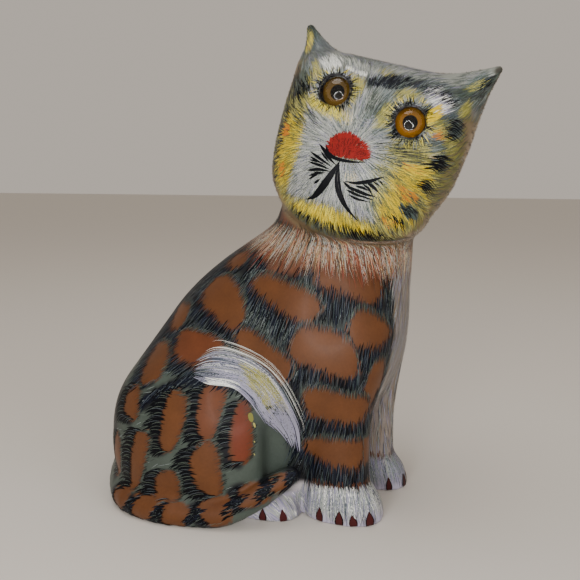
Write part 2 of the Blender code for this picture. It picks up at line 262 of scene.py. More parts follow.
def carving(p):
    f = smooth_max(column(p, TORSO_ROWS, TORSO_SQUARENESS), p[2] - NECK_TOP, 3.0)
    for side in (-1.0, 1.0):
        f = half_body(f, p, side)
    f = smooth_max(f, -ellipsoid(p, SLOT_CENTRE, SLOT_SEMI, SLOT_SQUARENESS), 4.0)
    f = smooth_min(f, rod(p, TAIL_KNOTS), 1.0 + 2.5 * ramp(p[1], -2.0, 24.0))
    return smooth_min(f, head(p), 3.0)


BOX_LOW, BOX_HIGH = np.array([-46.0, -76.0, -5.0]), np.array([44.0, 62.0, 152.0])
BOX_FLOOR = 1.5                   # the form is closed this far above the box's floor
PROBE = 0.05


def settle(points, form, cell):
    """Moves points straight onto the surface of the form."""
    step = PROBE * np.eye(3)
    for _ in range(3):
        here = form(points.T)
        grad = [(form((points + e).T) - form((points - e).T)) / (2 * PROBE) for e in step]
        grad = np.stack(grad, 1)
        move = -(here / np.maximum((grad ** 2).sum(1), 0.2))[:, None] * grad
        size = np.linalg.norm(move, axis=1, keepdims=True)
        points = points + move * np.minimum(1.0, 0.5 * cell / np.maximum(size, 1e-9))
    return points


def surface(name, form, cell):
    """Samples the form on a grid and wraps its surface in four-sided faces."""
    count = np.ceil((BOX_HIGH - BOX_LOW) / cell).astype(int) + 1
    axes = [BOX_LOW[i] + cell * np.arange(count[i]) for i in range(3)]
    values = np.empty(count, np.float32)
    for i in range(0, count[0], 16):
        block = np.meshgrid(axes[0][i:i + 16], axes[1], axes[2], indexing="ij")
        base = BOX_LOW[2] + BOX_FLOOR - block[2]
        values[i:i + 16] = np.maximum(form(block), base)
    grid = openvdb.FloatGrid(3.0 * cell)
    grid.copyFromArray(np.clip(values, -3.0 * cell, 3.0 * cell))
    points, quads = grid.convertToQuads(0.0)
    points = BOX_LOW + np.asarray(points, float) * cell
    points = settle(points, form, cell)
    mesh = bpy.data.meshes.new(name)
    mesh.from_pydata((points * MM).tolist(), [], np.asarray(quads).tolist())
    mesh.update()
    return mesh


# ---- fine skin ----
def add(name, data):
    """Adds a mesh, lamp or camera to the scene."""
    item = bpy.data.objects.new(name, data)
    bpy.context.scene.collection.objects.link(item)
    return item


SKIN_CELL = 0.74
SHARP_EDGE, GLASS_EDGE = math.radians(55), math.radians(40)     # sharper edges aren't smoothed


def eye_matrix(seat, splay):
    """Frame of a glass eye: its side, up and outward axes at its seat."""
    angle = math.radians(splay)
    across, upward, nose = HEAD_AXES
    out = nose * math.cos(angle) + across * math.sin(angle)
    side = across * math.cos(angle) - nose * math.sin(angle)
    matrix = Matrix([side, upward, out]).transposed().to_4x4()
    matrix.translation = Vector(from_head(*seat) * MM)
    return matrix


def lathe_mesh(name, outline, steps=64):
    """Turns a half outline of (radius, height) about +Z."""
    angles = np.arange(steps) * math.tau / steps
    points, faces, rings = [], [], []
    for r, z in outline:
        if r < 1e-6:
            rings.append([len(points)] * steps)
            points.append((0.0, 0.0, z * MM))
            continue
        rings.append(list(range(len(points), len(points) + steps)))
        points += [(r * math.cos(a) * MM, r * math.sin(a) * MM, z * MM) for a in angles]
    for upper, lower in zip(rings[:-1], rings[1:]):
        for i in range(steps):
            j = (i + 1) % steps
            face = [upper[i], lower[i], lower[j], upper[j]]
            faces.append(list(dict.fromkeys(face)))
    mesh = bpy.data.meshes.new(name)
    mesh.from_pydata(points, [], faces)
    mesh.shade_smooth()
    return mesh


def carved_skin():
    """The carving at a fine cell, flat underneath, drilled for the eyes."""
    blank = add("skin_blank",
                surface("skin_blank", lambda p: np.maximum(carving(p), -p[2]), SKIN_CELL))
    drills = []
    for node, (seat, splay) in EYES.items():
        r, low = EYE_RADIUS + EYE_GAP, -(EYE_SEAT + EYE_GAP)
        drill = add(node + "_drill", lathe_mesh(node, [(0, 9), (r, 9), (r, low), (0, low)]))
        drill.matrix_world = eye_matrix(seat, splay)
        cut = blank.modifiers.new(node, "BOOLEAN")
        cut.operation, cut.solver, cut.object = "DIFFERENCE", "EXACT", drill
        drills.append(drill)
    graph = bpy.context.evaluated_depsgraph_get()
    mesh = bpy.data.meshes.new_from_object(blank.evaluated_get(graph))
    for item in drills + [blank]:
        bpy.data.objects.remove(item)
    mesh.name = "painted_skin"
    mesh.shade_smooth()
    mesh.set_sharp_from_angle(angle=SHARP_EDGE)
    return mesh


def vectors(source, field):
    values = np.zeros(len(source) * 3)
    source.foreach_get(field, values)
    return values.reshape(-1, 3)


SKIN = carved_skin()
POINTS = vectors(SKIN.vertices, "co") / MM
NORMALS = vectors(SKIN.vertices, "normal")
FACES = [tuple(face.vertices) for face in SKIN.polygons]
FACE_NORMALS = np.array([NORMALS[list(face)].mean(0) for face in FACES])
TREE = BVHTree.FromPolygons(POINTS.tolist(), FACES)


# ---- helpers ----
def unit(v):
    return v / np.maximum(np.linalg.norm(v, axis=-1, keepdims=True), 1e-9)


def snap(points):
    """Nearest places on the skin and the skin's normals there."""
    places, normals = np.empty((len(points), 3)), np.empty((len(points), 3))
    for i, p in enumerate(points):
        hit, _, face, _ = TREE.find_nearest(Vector(p))
        places[i], normals[i] = hit, FACE_NORMALS[face]
    return places, unit(normals)


def cast(origins, directions):
    """Where rays first meet the skin; a miss gives a place at infinity."""
    out = np.full((len(origins), 3), np.inf)
    for i, (o, d) in enumerate(zip(origins, directions)):
        hit = TREE.ray_cast(Vector(o), Vector(d))[0]
        if hit is not None:
            out[i] = hit
    return out


def colour(r, g, b):
    """Display values 0-255 to scene-linear."""
    v = np.array([r, g, b]) / 255.0
    return tuple(np.where(v < 0.04045, v / 12.92, ((v + 0.055) / 1.055) ** 2.4))


def flat_on(normals, aims):
    """Aims laid flat on the skin."""
    return unit(aims - (aims * normals).sum(-1, keepdims=True) * normals)


# ---- the strokes ----
TONES = {
    "ink": (7, 8, 12), "navy": (16, 20, 32), "moss": (28, 35, 31),
    "char": (46, 46, 46), "steel": (56, 64, 76), "slate": (80, 88, 92),
    "coat": (58, 66, 60), "sage": (84, 94, 84), "teal": (64, 80, 76),
    "mist": (118, 126, 124), "ash": (152, 154, 148), "bone": (186, 188, 180),
    "white": (222, 222, 216), "cream": (214, 196, 152), "peach": (176, 128, 100),
    "haze": (138, 136, 152), "lavender": (132, 128, 152), "rust": (84, 46, 24),
    "russet": (120, 56, 38), "umber": (66, 46, 34), "tan": (134, 112, 80),
    "olive": (112, 110, 50), "straw": (158, 152, 84), "yellow": (204, 174, 14),
    "lemon": (220, 202, 70), "orange": (192, 116, 6), "red": (132, 32, 28),
    "brick": (90, 24, 22), "maroon": (60, 24, 24),
}
SHAPES = {
    "hair": (0.35, 0.90, 1.00, 0.80, 0.45, 0.05),
    "spindle": (0.08, 0.75, 1.00, 0.90, 0.50, 0.05),
    "comma": (0.70, 1.00, 0.90, 0.65, 0.35, 0.05),
    "dab": (0.45, 0.95, 1.00, 1.00, 0.85, 0.35),
    "claw": (0.9, 1.0, 0.95, 0.7, 0.4, 0.1),
    "nail": (0.72, 0.8, 0.76, 0.54, 0.26, 0.0),
}
# height of the paint over the wood: first layer, step, and more for wide strokes
LIFT, LAYER_LIFT, WIDE_LIFT, WIDE = 0.034, 0.0003, 0.05, 0.9
GROUND_GAP = 0.02                 # lowest paint above the ground
GLASS_GAP = 0.15                  # bare ring kept round the glass eyes
FACE_DEPTH = 8.0                  # the face is forward of this in the head's frame
STAY_OUT = 0.9                    # how far dark hairs may reach into the next spot
SHEEN, COAT, COAT_ROUGH = 0.22, 0.1, 0.22
MATT = {"ink": 0.35, "navy": 0.5, "red": 0.3, "brick": 0.3, "maroon": 0.4}
# points along a hair, and how hairs vary: length and width as shares, bend in
# radians, lift in layers
HAIR_STEPS, LENGTHS, WIDTHS, BENDS, LIFTS = 6, (0.8, 1.2), (0.75, 1.25), 0.12, 3
laid = {tone: [] for tone in TONES}
layers = [0]


def from_eyes(s, u):
    """Distance across the face from the nearer eye."""
    return np.min([np.hypot(s - seat[0], u - seat[1]) for seat, _ in EYES.values()], axis=0)


def clear_of_glass(paths):
    """True for each path that stays off both glass eyes."""
    s, u, d = to_head(np.moveaxis(paths, -1, 0))
    return ~((from_eyes(s, u) < EYE_RADIUS + GLASS_GAP) & (d > FACE_DEPTH)).any(1)


def put(tones, paths, width, shape="hair"):
    """Lays hairs along given paths (count, steps, 3), drawn onto the skin."""
    count, steps = paths.shape[:2]
    width = np.broadcast_to(width, count)
    place, normal = snap(paths.reshape(-1, 3))
    place, normal = place.reshape(count, steps, 3), normal.reshape(count, steps, 3)
    clear = clear_of_glass(place)
    place, normal, count = place[clear], normal[clear], int(clear.sum())
    ahead = unit(np.gradient(place, axis=1))
    side = unit(np.cross(normal, ahead))
    profile = SHAPES[shape]
    share = np.interp(np.linspace(0, 1, steps), np.linspace(0, 1, len(profile)), profile)
    lift = (LIFT + LAYER_LIFT * layers[0] + rng.uniform(0, LAYER_LIFT * LIFTS, count)
            + WIDE_LIFT * np.maximum(width[clear] - WIDE, 0.0) ** 2)
    width = width[clear] * rng.uniform(*WIDTHS, count)
    layers[0] += 1
    half = 0.5 * width[:, None, None] * share[None, :, None]
    middle = place + normal * lift[:, None, None]
    chosen = rng.choice(tones.split(), count) if isinstance(tones, str) else tones[clear]
    left, right = middle + side * half, middle - side * half
    for edge in (left, right):
        edge[..., 2] = np.maximum(edge[..., 2], GROUND_GAP)
    for name in sorted(set(chosen.tolist())):
        mine = chosen == name
        laid[name].append((left[mine], right[mine], normal[mine]))


def lay(tones, starts, aims, length, width, bend=0.0, shape="hair", stray=6.0, stay=False):
    """Paints one layer of hairs that run over the skin from the starts.

    Tones are words, one of which is drawn for each hair, or one tone a hair.
    """
    keep = np.isfinite(starts).all(1)
    count = int(keep.sum())
    length, width, bend = (np.broadcast_to(v, len(starts))[keep] for v in (length, width, bend))
    length = length * rng.uniform(*LENGTHS, count)
    bend = bend + rng.normal(0, BENDS, count)
    turn = np.radians(rng.normal(0, stray, count))
    aims = np.broadcast_to(aims, starts.shape)[keep]
    tones = tones if isinstance(tones, str) else tones[keep]
    place, normal = snap(starts[keep])
    path = [place]
    for k in range(1, HAIR_STEPS):
        flat = flat_on(normal, aims)
        side = np.cross(normal, flat)
        angle = (turn + bend * (k / HAIR_STEPS - 0.5))[:, None]
        ahead = flat * np.cos(angle) + side * np.sin(angle)
        place, normal = snap(place + ahead * length[:, None] / (HAIR_STEPS - 1))
        path.append(place)
    path = np.stack(path, 1)
    if stay:
        tips = path[:, -2:].reshape(-1, 3)
        into = max_depth(tips, np.repeat(normal, 2, axis=0)).reshape(-1, 2).max(1)
        path, width = path[into < STAY_OUT], width[into < STAY_OUT]
    put(tones, path, width, shape)


def finish(name, values):
    """A material with the given values on its shader's sockets."""
    material = bpy.data.materials.new(name)
    material.use_nodes = True
    shader = material.node_tree.nodes["Principled BSDF"]
    for socket, value in values.items():
        shader.inputs[socket].default_value = value
    return material


def plain_finish(name, rgb, rough=0.46, sheen=1.0):
    return finish(name, {
        "Base Color": colour(*rgb) + (1.0,), "Roughness": rough,
        "Specular IOR Level": SHEEN * sheen, "Coat Weight": COAT * sheen,
        "Coat Roughness": COAT_ROUGH})


def stroke_piece(tone, batches):
    """All hairs of one tone as one mesh of thin strips."""
    points, normals, faces, total = [], [], [], 0
    for left, right, normal in batches:
        count, steps = left.shape[:2]
        points.append(np.stack([left, right], 2).reshape(-1, 3))
        normals.append(np.repeat(normal, 2, axis=1).reshape(-1, 3))
        first = total + 2 * steps * np.arange(count)[:, None]
        for k in range(steps - 1):
            faces.append(first + 2 * k + np.array([[0, 1, 3, 2]]))
        total += 2 * steps * count
    mesh = bpy.data.meshes.new("paint_" + tone)
    points = np.concatenate(points) * MM
    mesh.from_pydata(points.tolist(), [], np.concatenate(faces).tolist())
    mesh.shade_smooth()
    mesh.normals_split_custom_set_from_vertices(np.concatenate(normals).tolist())
    mesh.materials.append(plain_finish("paint_" + tone, TONES[tone], sheen=MATT.get(tone, 1.0)))
    return add("paint_" + tone, mesh)


# ---- spots on the body ----
# near side, each is mirrored: place, half length, half width, lean of the
# long axis from upright towards the front in degrees, and how ruddy it is
SPOTS = {
    "coat": [
        (-20, -12.5, 81, 8.6, 4.6, -73, 0.5), (-16, 4, 77.5, 4.4, 3.2, 48),
        (-23, 6, 66.5, 8.8, 6.6, -60), (-26, -15, 69, 11, 4.8, -68),
        (-18, 23.5, 59.5, 5.2, 4.2, 3), (-26, 13.5, 52, 9.2, 5, -81, 0.4),
        (-27, -8.5, 51, 10.2, 5.2, -62), (-26, 27, 46, 8.4, 4.2, -22),
        (-21.5, -33, 75, 10.6, 5.6, -71), (-20.5, -38.5, 60, 7.4, 5, -63),
        (-26.8, -27, 54, 10.6, 6.2, -75), (-17, -39.5, 45, 5.8, 4, -9),
        (-22, -30, 37, 10.4, 5.6, -82), (-20, -30, 22, 10, 4.8, -90),
    ],
    "haunch": [
        (-33.5, 32, 35, 5.6, 3.4, -5), (-36.5, 16.5, 32, 10.2, 3.5, 11),
        (-34, 5.2, 36, 8.4, 4, 10, 0.3), (-32, -3.9, 29, 9.6, 3.3, 2, 1),
        (-36.4, 5.6, 18, 8.6, 4.6, -12), (-36, 29, 18, 10.8, 3, 15),
        (-36.5, 18.5, 11, 5.8, 4.2, 2), (-31, 40, 16, 8, 3, 24),
    ],
    "tail": [
        (-37, 36.6, 3.8, 4.2, 4.2, -80), (-39.4, 26.4, 3.4, 4.6, 4.6, -80),
        (-39.4, 15.4, 3.8, 4.9, 4.4, -86), (-36.6, 2.8, 6.2, 5.4, 4, 65),
        (-32.8, -7, 11, 4.6, 3.4, 55), (-29.2, -14.4, 14.6, 3.4, 2.6, 56),
    ],
}
# black bands that cross the tail between its spots
TAIL_BANDS = [(-38.5, 31.5, 3.6), (-39.5, 20.8, 3.6), (-38.5, 9, 4.6), (-35, -2.4, 8.6),
              (-31, -11, 13), (-27.5, -18, 16)]
SPINE_SPOTS = [(0, 10, 83, 6, 5, 0), (0, 25, 68, 7.4, 6, 0),
               (0, 36, 53, 7, 6.4, 0), (0, 43, 36, 7.4, 5.6, 0),
               (15, 41, 26, 7, 4.2, 0), (-15, 41, 26, 7, 4.2, 0),
               (0, 46, 17, 6.4, 5.4, 0)]
SQUARE = 2.8                      # above 2 the ovals fill out towards squares
WAVER = 0.085
FAR = 9.0                         # depths are kept within this
OUTLINE_STEPS = 721
SPOT_SEED, SPINE_SEED, RAGGED_SEED = 100, 70, 5


FLOWS = {"tail": (0.0, 0.9, -0.44), "haunch": (0.0, 0.93, -0.36)}
# dark crescents behind the spots: how far behind, and how much larger
CRESCENTS = {"coat": (2.4, 0.6), "haunch": (3.0, 0.5), "tail": (3.0, 0.3)}


def flow(kind, place):
    """Way the hairs lie: back on haunch and tail; on the coat down, swinging back."""
    if kind in FLOWS:
        return np.array(FLOWS[kind])
    swing = math.radians(6.0 + 42.0 * float(ramp(place[1], -34.0, 22.0)))
    return np.array([0.0, math.sin(swing), -math.cos(swing)])


def spot(kind, spec, side, index):
    """Frame and outline of one rust spot."""
    x, y, z, long_half, short_half, lean, *ruddy = spec
    place, normal = snap(np.array([[x * side, y, z]], float))
    place, normal = place[0], normal[0]
    hand = 1 if place[0] > 0 else -1
    upright = flat_on(normal, np.array([0.0, 0.0, 1.0]))
    ahead = -hand * np.cross(upright, normal)
    lean = math.radians(lean)
    return {"kind": kind, "place": place, "normal": normal, "hand": hand,
            "long": upright * math.cos(lean) + ahead * math.sin(lean),
            "short": ahead * math.cos(lean) - upright * math.sin(lean),
            "size": (long_half, short_half), "ruddy": ruddy[0] if ruddy else 0.0,
            "waves": np.random.default_rng(SPOT_SEED + index).uniform(0, math.tau, 2),
            "aim": flat_on(normal, flow(kind, place))}


def waver(one, phi):
    """Uneven reach of a spot's outline by angle, about 1."""
    first, second = one["waves"]
    return 1 + WAVER * (np.sin(2 * phi + first) + np.sin(3 * phi + second))


def spot_depth(one, points, normals, shift=0.0, grow=0.0):
    """Rough distance inside the outline of a spot, negative outside."""
    v = points - one["place"] - shift * one["aim"]
    a, b = one["size"][0] + grow, one["size"][1] + grow
    x, y = v @ one["long"] / a, v @ one["short"] / b
    wave = waver(one, np.arctan2(y, x))
    q = (np.abs(x) ** SQUARE + np.abs(y) ** SQUARE) ** (1 / SQUARE) / wave + 1e-6
    steep = np.hypot(x / a, y / b) / q + 1e-6
    depth = np.clip((1 - q) / steep, -FAR, FAR)
    wrong = (normals @ one["normal"] < 0.1) | (np.abs(v @ one["normal"]) > FAR)
    return np.where(wrong, -FAR, depth)


def edge_of(one, spacing, rear, width):
    """Even places round one part of the outline of a spot, with the way out."""
    phi = np.linspace(0, math.tau, OUTLINE_STEPS)
    c, s = np.cos(phi), np.sin(phi)
    a, b = one["size"]
    full = waver(one, phi) / (np.abs(c) ** SQUARE + np.abs(s) ** SQUARE) ** (1 / SQUARE)
    run = np.concatenate([[0.0], np.cumsum(np.hypot(np.diff(a * full * c),
                                                    np.diff(b * full * s)))])
    count = max(3, int(run[-1] / spacing))
    at = (np.arange(count) + 0.5 + rng.uniform(-0.3, 0.3, count)) * run[-1] / count
    c, s, full = (np.interp(at, run, v) for v in (c, s, full))
    out = unit((c / a)[:, None] * one["long"] + (s / b)[:, None] * one["short"])
    where = (one["place"] + (a * full * c)[:, None] * one["long"]
             + (b * full * s)[:, None] * one["short"])
    facing = out @ one["aim"] * (1 if rear else -1)
    keep = facing > math.cos(math.radians(width))
    return where[keep], out[keep], facing[keep]


def row(one, tones, spacing, length, width, begin, rear=True, span=100, swing=0.0,
        bend=0.0, shape="spindle", jitter=0.3):
    """A row of near-parallel hairs beside the outline of a spot."""
    where, out, facing = edge_of(one, spacing, rear, span)
    count = len(where)
    if not count:
        return
    slope = np.clip(0.35 + 0.65 * facing, 0.3, 1.0)
    start = where + one["aim"] * (begin * slope + rng.normal(0, jitter, count))[:, None]
    side = np.cross(one["normal"], one["aim"]) * one["hand"]
    swing = math.radians(swing)
    aims = one["aim"] * math.cos(swing) + side * math.sin(swing) + 0.22 * out
    lay(tones, start, aims, length * (0.55 + 0.45 * slope), width,
        -bend * one["hand"], shape, 3.5, stay=rear)


# a row where the hairs come up to a spot; the others are where they leave it
FRONT = {"rear": False, "shape": "hair"}
# rows of hairs: tones, spacing, length, width, start beyond the outline, extras
COAT_ROWS = [
    ("ink navy", 0.36, 5, 0.4, -0.9, {"jitter": 0.7}),
    ("ink navy", 0.5, 4.8, 0.38, 1.8, {"jitter": 0.8}),
    ("rust umber", 0.62, 3.2, 0.2, -1.6, {"jitter": 0.7, "shape": "hair"}),
    ("slate steel", 1.1, 5.4, 0.1, -0.2, {"jitter": 0.9, "shape": "hair"}),
    ("steel slate teal", 1.1, 5.4, 0.1, 2.2, {"jitter": 0.9, "shape": "hair"}),
    ("moss navy", 0.5, 2.8, 0.22, -1.6, FRONT),
    ("sage coat slate", 0.6, 3, 0.12, -1.7, FRONT),
    ("rust umber", 0.7, 2.2, 0.16, -0.9, FRONT),
]
HAUNCH_ROWS = [
    ("ink", 0.5, 6, 0.55, -0.9, {"swing": 2, "bend": 1.1, "jitter": 0.4}),
    ("ink", 0.6, 5.4, 0.5, 1.4, {"swing": 0, "bend": 1.1, "span": 84}),
    ("slate sage", 1, 5, 0.1, 0, {"swing": 2, "bend": 1.1, "shape": "hair"}),
    ("coat moss", 0.5, 2.2, 0.28, -1.3, FRONT),
    ("umber rust", 0.6, 2, 0.2, 0.3, FRONT),
]
TAIL_ROWS = [
    ("ink", 0.5, 3.4, 0.46, -0.8, {"swing": -12, "bend": 0.5, "span": 64}),
    ("sage slate", 1.2, 3, 0.12, 0.2, {"swing": -12, "bend": 0.5, "shape": "hair"}),
]
ROWS = {"coat": COAT_ROWS, "haunch": HAUNCH_ROWS, "tail": TAIL_ROWS}


def spread_spots():
    """All spots: both sides of the body, the tail, and those along the spine."""
    found = []
    for side in (1, -1):
        for kind, rows in SPOTS.items():
            if kind != "tail" or side == 1:
                found += [spot(kind, spec, side, len(found) + i) for i, spec in enumerate(rows)]
    return found + [spot("coat", spec, 1, SPINE_SEED + i) for i, spec in enumerate(SPINE_SPOTS)]


spots = spread_spots()


def max_depth(points, normals):
    """Depth of each point inside the spot that holds it best."""
    return np.max([spot_depth(one, points, normals) for one in spots], axis=0)


# ---- base coats ----
def wash(rgb, count):
    """One colour over a number of points."""
    return np.tile(colour(*rgb), (count, 1))


def blend(base, over, share):
    """Lays one colour over others by a share at each point."""
    return base + (np.array(over) - base) * np.clip(share, 0.0, 1.0)[:, None]


def coated(tint, *coats):
    """Lays colours over a tint in turn, each by its share at each point."""
    for rgb, share in coats:
        tint = blend(tint, colour(*rgb), share)
    return tint


def near_line(points, line, side):
    """Distance from points to a smooth line near the surface."""
    knots = np.array(rounded(line, 3)) * np.array([side, 1, 1])
    gaps = [np.hypot.reduce(points - knot, axis=1) for knot in knots]
    return np.min(gaps, axis=0)


THIGH_LINE = [(-35, 27, 36), (-35, 21, 41), (-32, 12, 44), (-31, 4, 44.5), (-29, -3, 42),
              (-28, -7, 39)]
THIGH_BAND = 2.6


def dark_share(points, normals):
    """How dark the coat is under the hairs, 0 to 1."""
    y, z = points.T[1:]
    upper = np.maximum(ramp(z, 43.0, 49.0), ramp(-y, 12.0, 17.0))
    upper = np.maximum(upper, ramp(y, 36.0, 41.0) * ramp(z, 10.0, 14.0))
    sage = np.zeros(len(points))
    crescent = np.full(len(points), -FAR)
    for one in spots:
        if one["kind"] == "coat":
            window = spot_depth(one, points, normals, -1.8, 0.3)
            sage = np.maximum(sage, ramp(window, -1.6, 1.0))
        behind = spot_depth(one, points, normals, *CRESCENTS[one["kind"]])
        crescent = np.maximum(crescent, behind)
    share = upper * (1 - 0.5 * sage)
    share = np.maximum(share, ramp(crescent, -0.8, 0.4))
    for side in (1, -1):
        share = np.maximum(share, 1 - ramp(near_line(points, THIGH_LINE, side),
                                           THIGH_BAND - 0.8, THIGH_BAND + 0.8))
    return share


NOSE = (-1.5, -3.0)               # the hairs of the face spread from here
SOFT_EDGE = 0.5
# soft patches of the face: colour, centre, half sizes, turn in degrees, and
# how soft the edge is where it differs from SOFT_EDGE
FACE_COATS = [
    ((174, 152, 34), -18.6, -6.5, 4.2, 13, 8, 0.25), ((184, 164, 48), 0, -20.4, 15, 2.6, 3, 0.4),
    ((174, 156, 30), 14.6, -6.5, 7, 12, 4, 0.25), ((120, 118, 56), 12.4, 1.4, 4.6, 3, -8),
    ((116, 112, 48), 18, -8.6, 2.6, 2, -10), ((134, 140, 98), 8.4, -4, 2.4, 8.4, 4, 0.6),
    ((188, 162, 14), 16.6, -3, 2.8, 3, 0), ((184, 132, 14), 15.4, -8.6, 2.6, 1.2, -30),
    ((184, 130, 14), 14, -16, 2.2, 0.9, 20), ((186, 126, 12), -21, -3.4, 1, 2, 10),
    ((184, 134, 18), -18.2, -13.4, 1, 2, 20), ((150, 140, 74), -20.2, 4.6, 2.2, 4.4, 16, 0.4),
    ((186, 168, 62), -11.5, 5.3, 6.6, 1.7, -6), ((160, 136, 64), -6.2, 12.4, 2.2, 3.4, -10, 0.4),
    ((150, 132, 96), -19.2, 13, 2.4, 4, 10), ((112, 118, 112), -22.4, 14.5, 1.6, 5, 6),
    ((82, 92, 78), 0.8, 10.4, 3.2, 5.2, -16, 0.4), ((150, 152, 66), 3.8, 8, 1.6, 3.6, -12),
    ((112, 120, 106), 4.6, 3.6, 3, 1.8, 30), ((104, 118, 114), 2.6, 14.2, 2.8, 1.9, 10),
    ((148, 146, 92), 6.6, 15.4, 3, 1.5, 10), ((22, 28, 40), -1.6, 16, 3.4, 1.3, 22, 0.35),
    ((18, 24, 34), 2.6, 17.4, 4.2, 1.7, 20, 0.35), ((58, 60, 66), 9.6, 19.4, 5, 1.4, 16, 0.4),
    ((84, 86, 90), 16.4, 20, 4.4, 1.5, 4), ((150, 140, 92), -0.4, 19.4, 3.2, 1, 8),
    ((150, 154, 146), -10, 18.8, 6, 1.2, -4), ((138, 144, 136), 8, 21.6, 9, 1.2, 12),
    ((156, 160, 154), -15.6, 17.6, 3, 2.2, 20), ((84, 84, 64), -21.6, 9.6, 2.2, 4.4, 14),
    ((104, 110, 104), -9, 22, 6, 1.6, -12), ((98, 102, 106), -22, 21.5, 4, 4.4, 30),
    ((164, 166, 178), 14.4, 16.6, 4.6, 2.2, -34, 0.4), ((66, 72, 86), 18.6, 14.4, 2.2, 1.5, 10),
    ((216, 186, 36), 14.9, 12.8, 1.7, 3, -20, 0.3), ((178, 150, 66), 17.4, 10.2, 2.6, 1.1, 0, 0.4),
    ((198, 124, 56), 17.6, 8.6, 2.6, 0.8, 0, 0.4), ((84, 104, 98), 17.8, 6.3, 3, 1.2, 0, 0.35),
    ((120, 118, 70), 21.6, 6.8, 1.4, 1.6, 0), ((54, 60, 54), 20.8, 11.4, 1.8, 2.2, 0),
    ((40, 42, 36), 20.6, 2, 1.6, 1.8, 0), ((62, 74, 66), 18.4, -11.8, 2.4, 1.5, -20),
    ((48, 52, 44), 19.4, -4.6, 1.4, 1.5, -10), ((150, 146, 58), 21.4, 17.6, 1.3, 2.2, 0, 0.4),
    ((72, 78, 64), 22.4, 23.6, 3.4, 5, -30, 0.6), ((60, 76, 64), 19.6, 21.6, 2.6, 1.4, 30),
    ((124, 136, 76), 21.4, 24.4, 1.2, 2.8, -44, 0.4), ((48, 58, 50), 23.4, 26.4, 1, 2.4, -34, 0.4),
    # the first patch on the next line, a pale dot near the left ear's tip, is a painted highlight
    ((168, 170, 166), 24, 29, 0.8, 0.6, 20), ((60, 58, 52), 25.6, 30.6, 1.4, 1.4, 0),
    ((52, 46, 40), 26.6, 28.6, 0.9, 3.4, -30), ((112, 92, 80), 25.4, 22.6, 1.2, 5, -20),
    ((44, 50, 46), -27.4, 27, 3, 3.6, 30, 0.3), ((58, 66, 56), -26, 21.4, 1.7, 4.2, 14, 0.4),
    # the second patch on the next line, teal-grey under the nose, is painted shadow
    ((192, 158, 88), -26.2, 21.4, 0.8, 3.4, 14, 0.3), ((104, 114, 108), 1.4, -7.4, 2.4, 1.2, 8),
    ((164, 168, 120), 2.4, -9.4, 1.6, 0.9, 0), ((74, 76, 54), 8, -23.4, 5, 1.4, 6),
    ((88, 86, 60), -6, -24, 8, 1.4, -4),
]


def face_coats(s, u):
    """Colours of the face at head places across and up."""
    ring = np.hypot((s + 1.0) / 24.5, (u + 2.0) / 24.5)
    face = coated(wash((136, 139, 134), len(s)), ((92, 84, 52), ramp(ring, 0.8, 0.92)),
                  ((104, 88, 64), ramp(ring, 0.93, 1.02)), ((132, 136, 128), ramp(u, 15.0, 20.0)))
    for rgb, s0, u0, half_s, half_u, turn, *soft in FACE_COATS:
        soft = soft[0] if soft else SOFT_EDGE
        c, k = math.cos(math.radians(turn)), math.sin(math.radians(turn))
        x, y = (s - s0) * c + (u - u0) * k, (u - u0) * c - (s - s0) * k
        face = coated(face, (rgb, ramp(1 - np.hypot(x / half_s, y / half_u), -soft, soft)))
    nose = np.hypot((s + 1.4) / 5.0, (u + 2.9) / 2.9)
    return coated(face, ((108, 24, 20), 1 - ramp(nose, 0.8, 1.0)),
                  ((34, 32, 38), 1 - ramp(from_eyes(s, u), 4.4, 5.3)))


def base_coats(points, normals):
    """Broad colours under the hairs, as scene-linear values at each point."""
    x, y, z = points.T
    s, u, d = to_head(points.T)
    facing = normals @ HEAD_AXES[2]
    on_head = 1.0 - ramp(head(points.T), 0.4, 2.4)
    rust = max_depth(points, normals)
    ragged = rust + np.random.default_rng(RAGGED_SEED).uniform(-0.3, 0.3, len(rust))
    pale = ramp(-y, 20.0, 27.0) * ramp(x, -12.5, -9.5) * (1 - ramp(x, 14.0, 18.0))
    hind = (1 - ramp(z, 6.0, 8.0)) * ramp(-y, -2.0, 3.0) * ramp(30.0 - np.abs(x), 0.0, 3.0)
    ruddy = [((92, 40, 21), one["ruddy"] * ramp(spot_depth(one, points, normals), -0.1, 1.2))
             for one in spots if one["ruddy"]]
    tint = coated(wash((60, 68, 62), len(points)), ((12, 14, 19), dark_share(points, normals)),
                  ((84, 49, 24), ramp(ragged, -0.35, 0.3)), *ruddy,
                  ((126, 116, 110), pale * (1 - ramp(z, 76, 84))),
                  ((104, 66, 48), ramp(z + 0.16 * y, 71.0, 75.0) * ramp(-y, 4.0, 12.0)),
                  ((170, 164, 166), (1.0 - ramp(z, 9.0, 11.5)) * ramp(-y, 12.0, 17.0)),
                  ((160, 154, 172), hind))
    away = coated(wash((146, 128, 104), len(points)), ((78, 78, 72), ramp(-facing, 0.0, 0.6)),
                  ((104, 110, 104), ramp(normals @ HEAD_AXES[1], 0.4, 0.8)))
    face = blend(away, face_coats(s, u), ramp(facing, 0.05, 0.35) * ramp(d, -4.0, 0.0))
    return tint * (1 - on_head[:, None]) + face * on_head[:, None]


def store(mesh, name, values):
    layer = mesh.attributes.new(name, "FLOAT_COLOR", "POINT")
    full = np.concatenate([values, np.ones((len(values), 1))], 1)
    layer.data.foreach_set("color", full.astype(np.float32).ravel())


store(SKIN, "coat", base_coats(POINTS, NORMALS))


def add_node(material, kind, inputs, output=0, **settings):
    """Adds one node to a material and gives one of its outputs."""
    tree = material.node_tree
    made = tree.nodes.new(kind)
    for key, value in settings.items():
        setattr(made, key, value)
    for key, value in inputs.items():
        if isinstance(value, bpy.types.NodeSocket):
            tree.links.new(value, made.inputs[key])
        else:
            made.inputs[key].default_value = value
    return made.outputs[output]


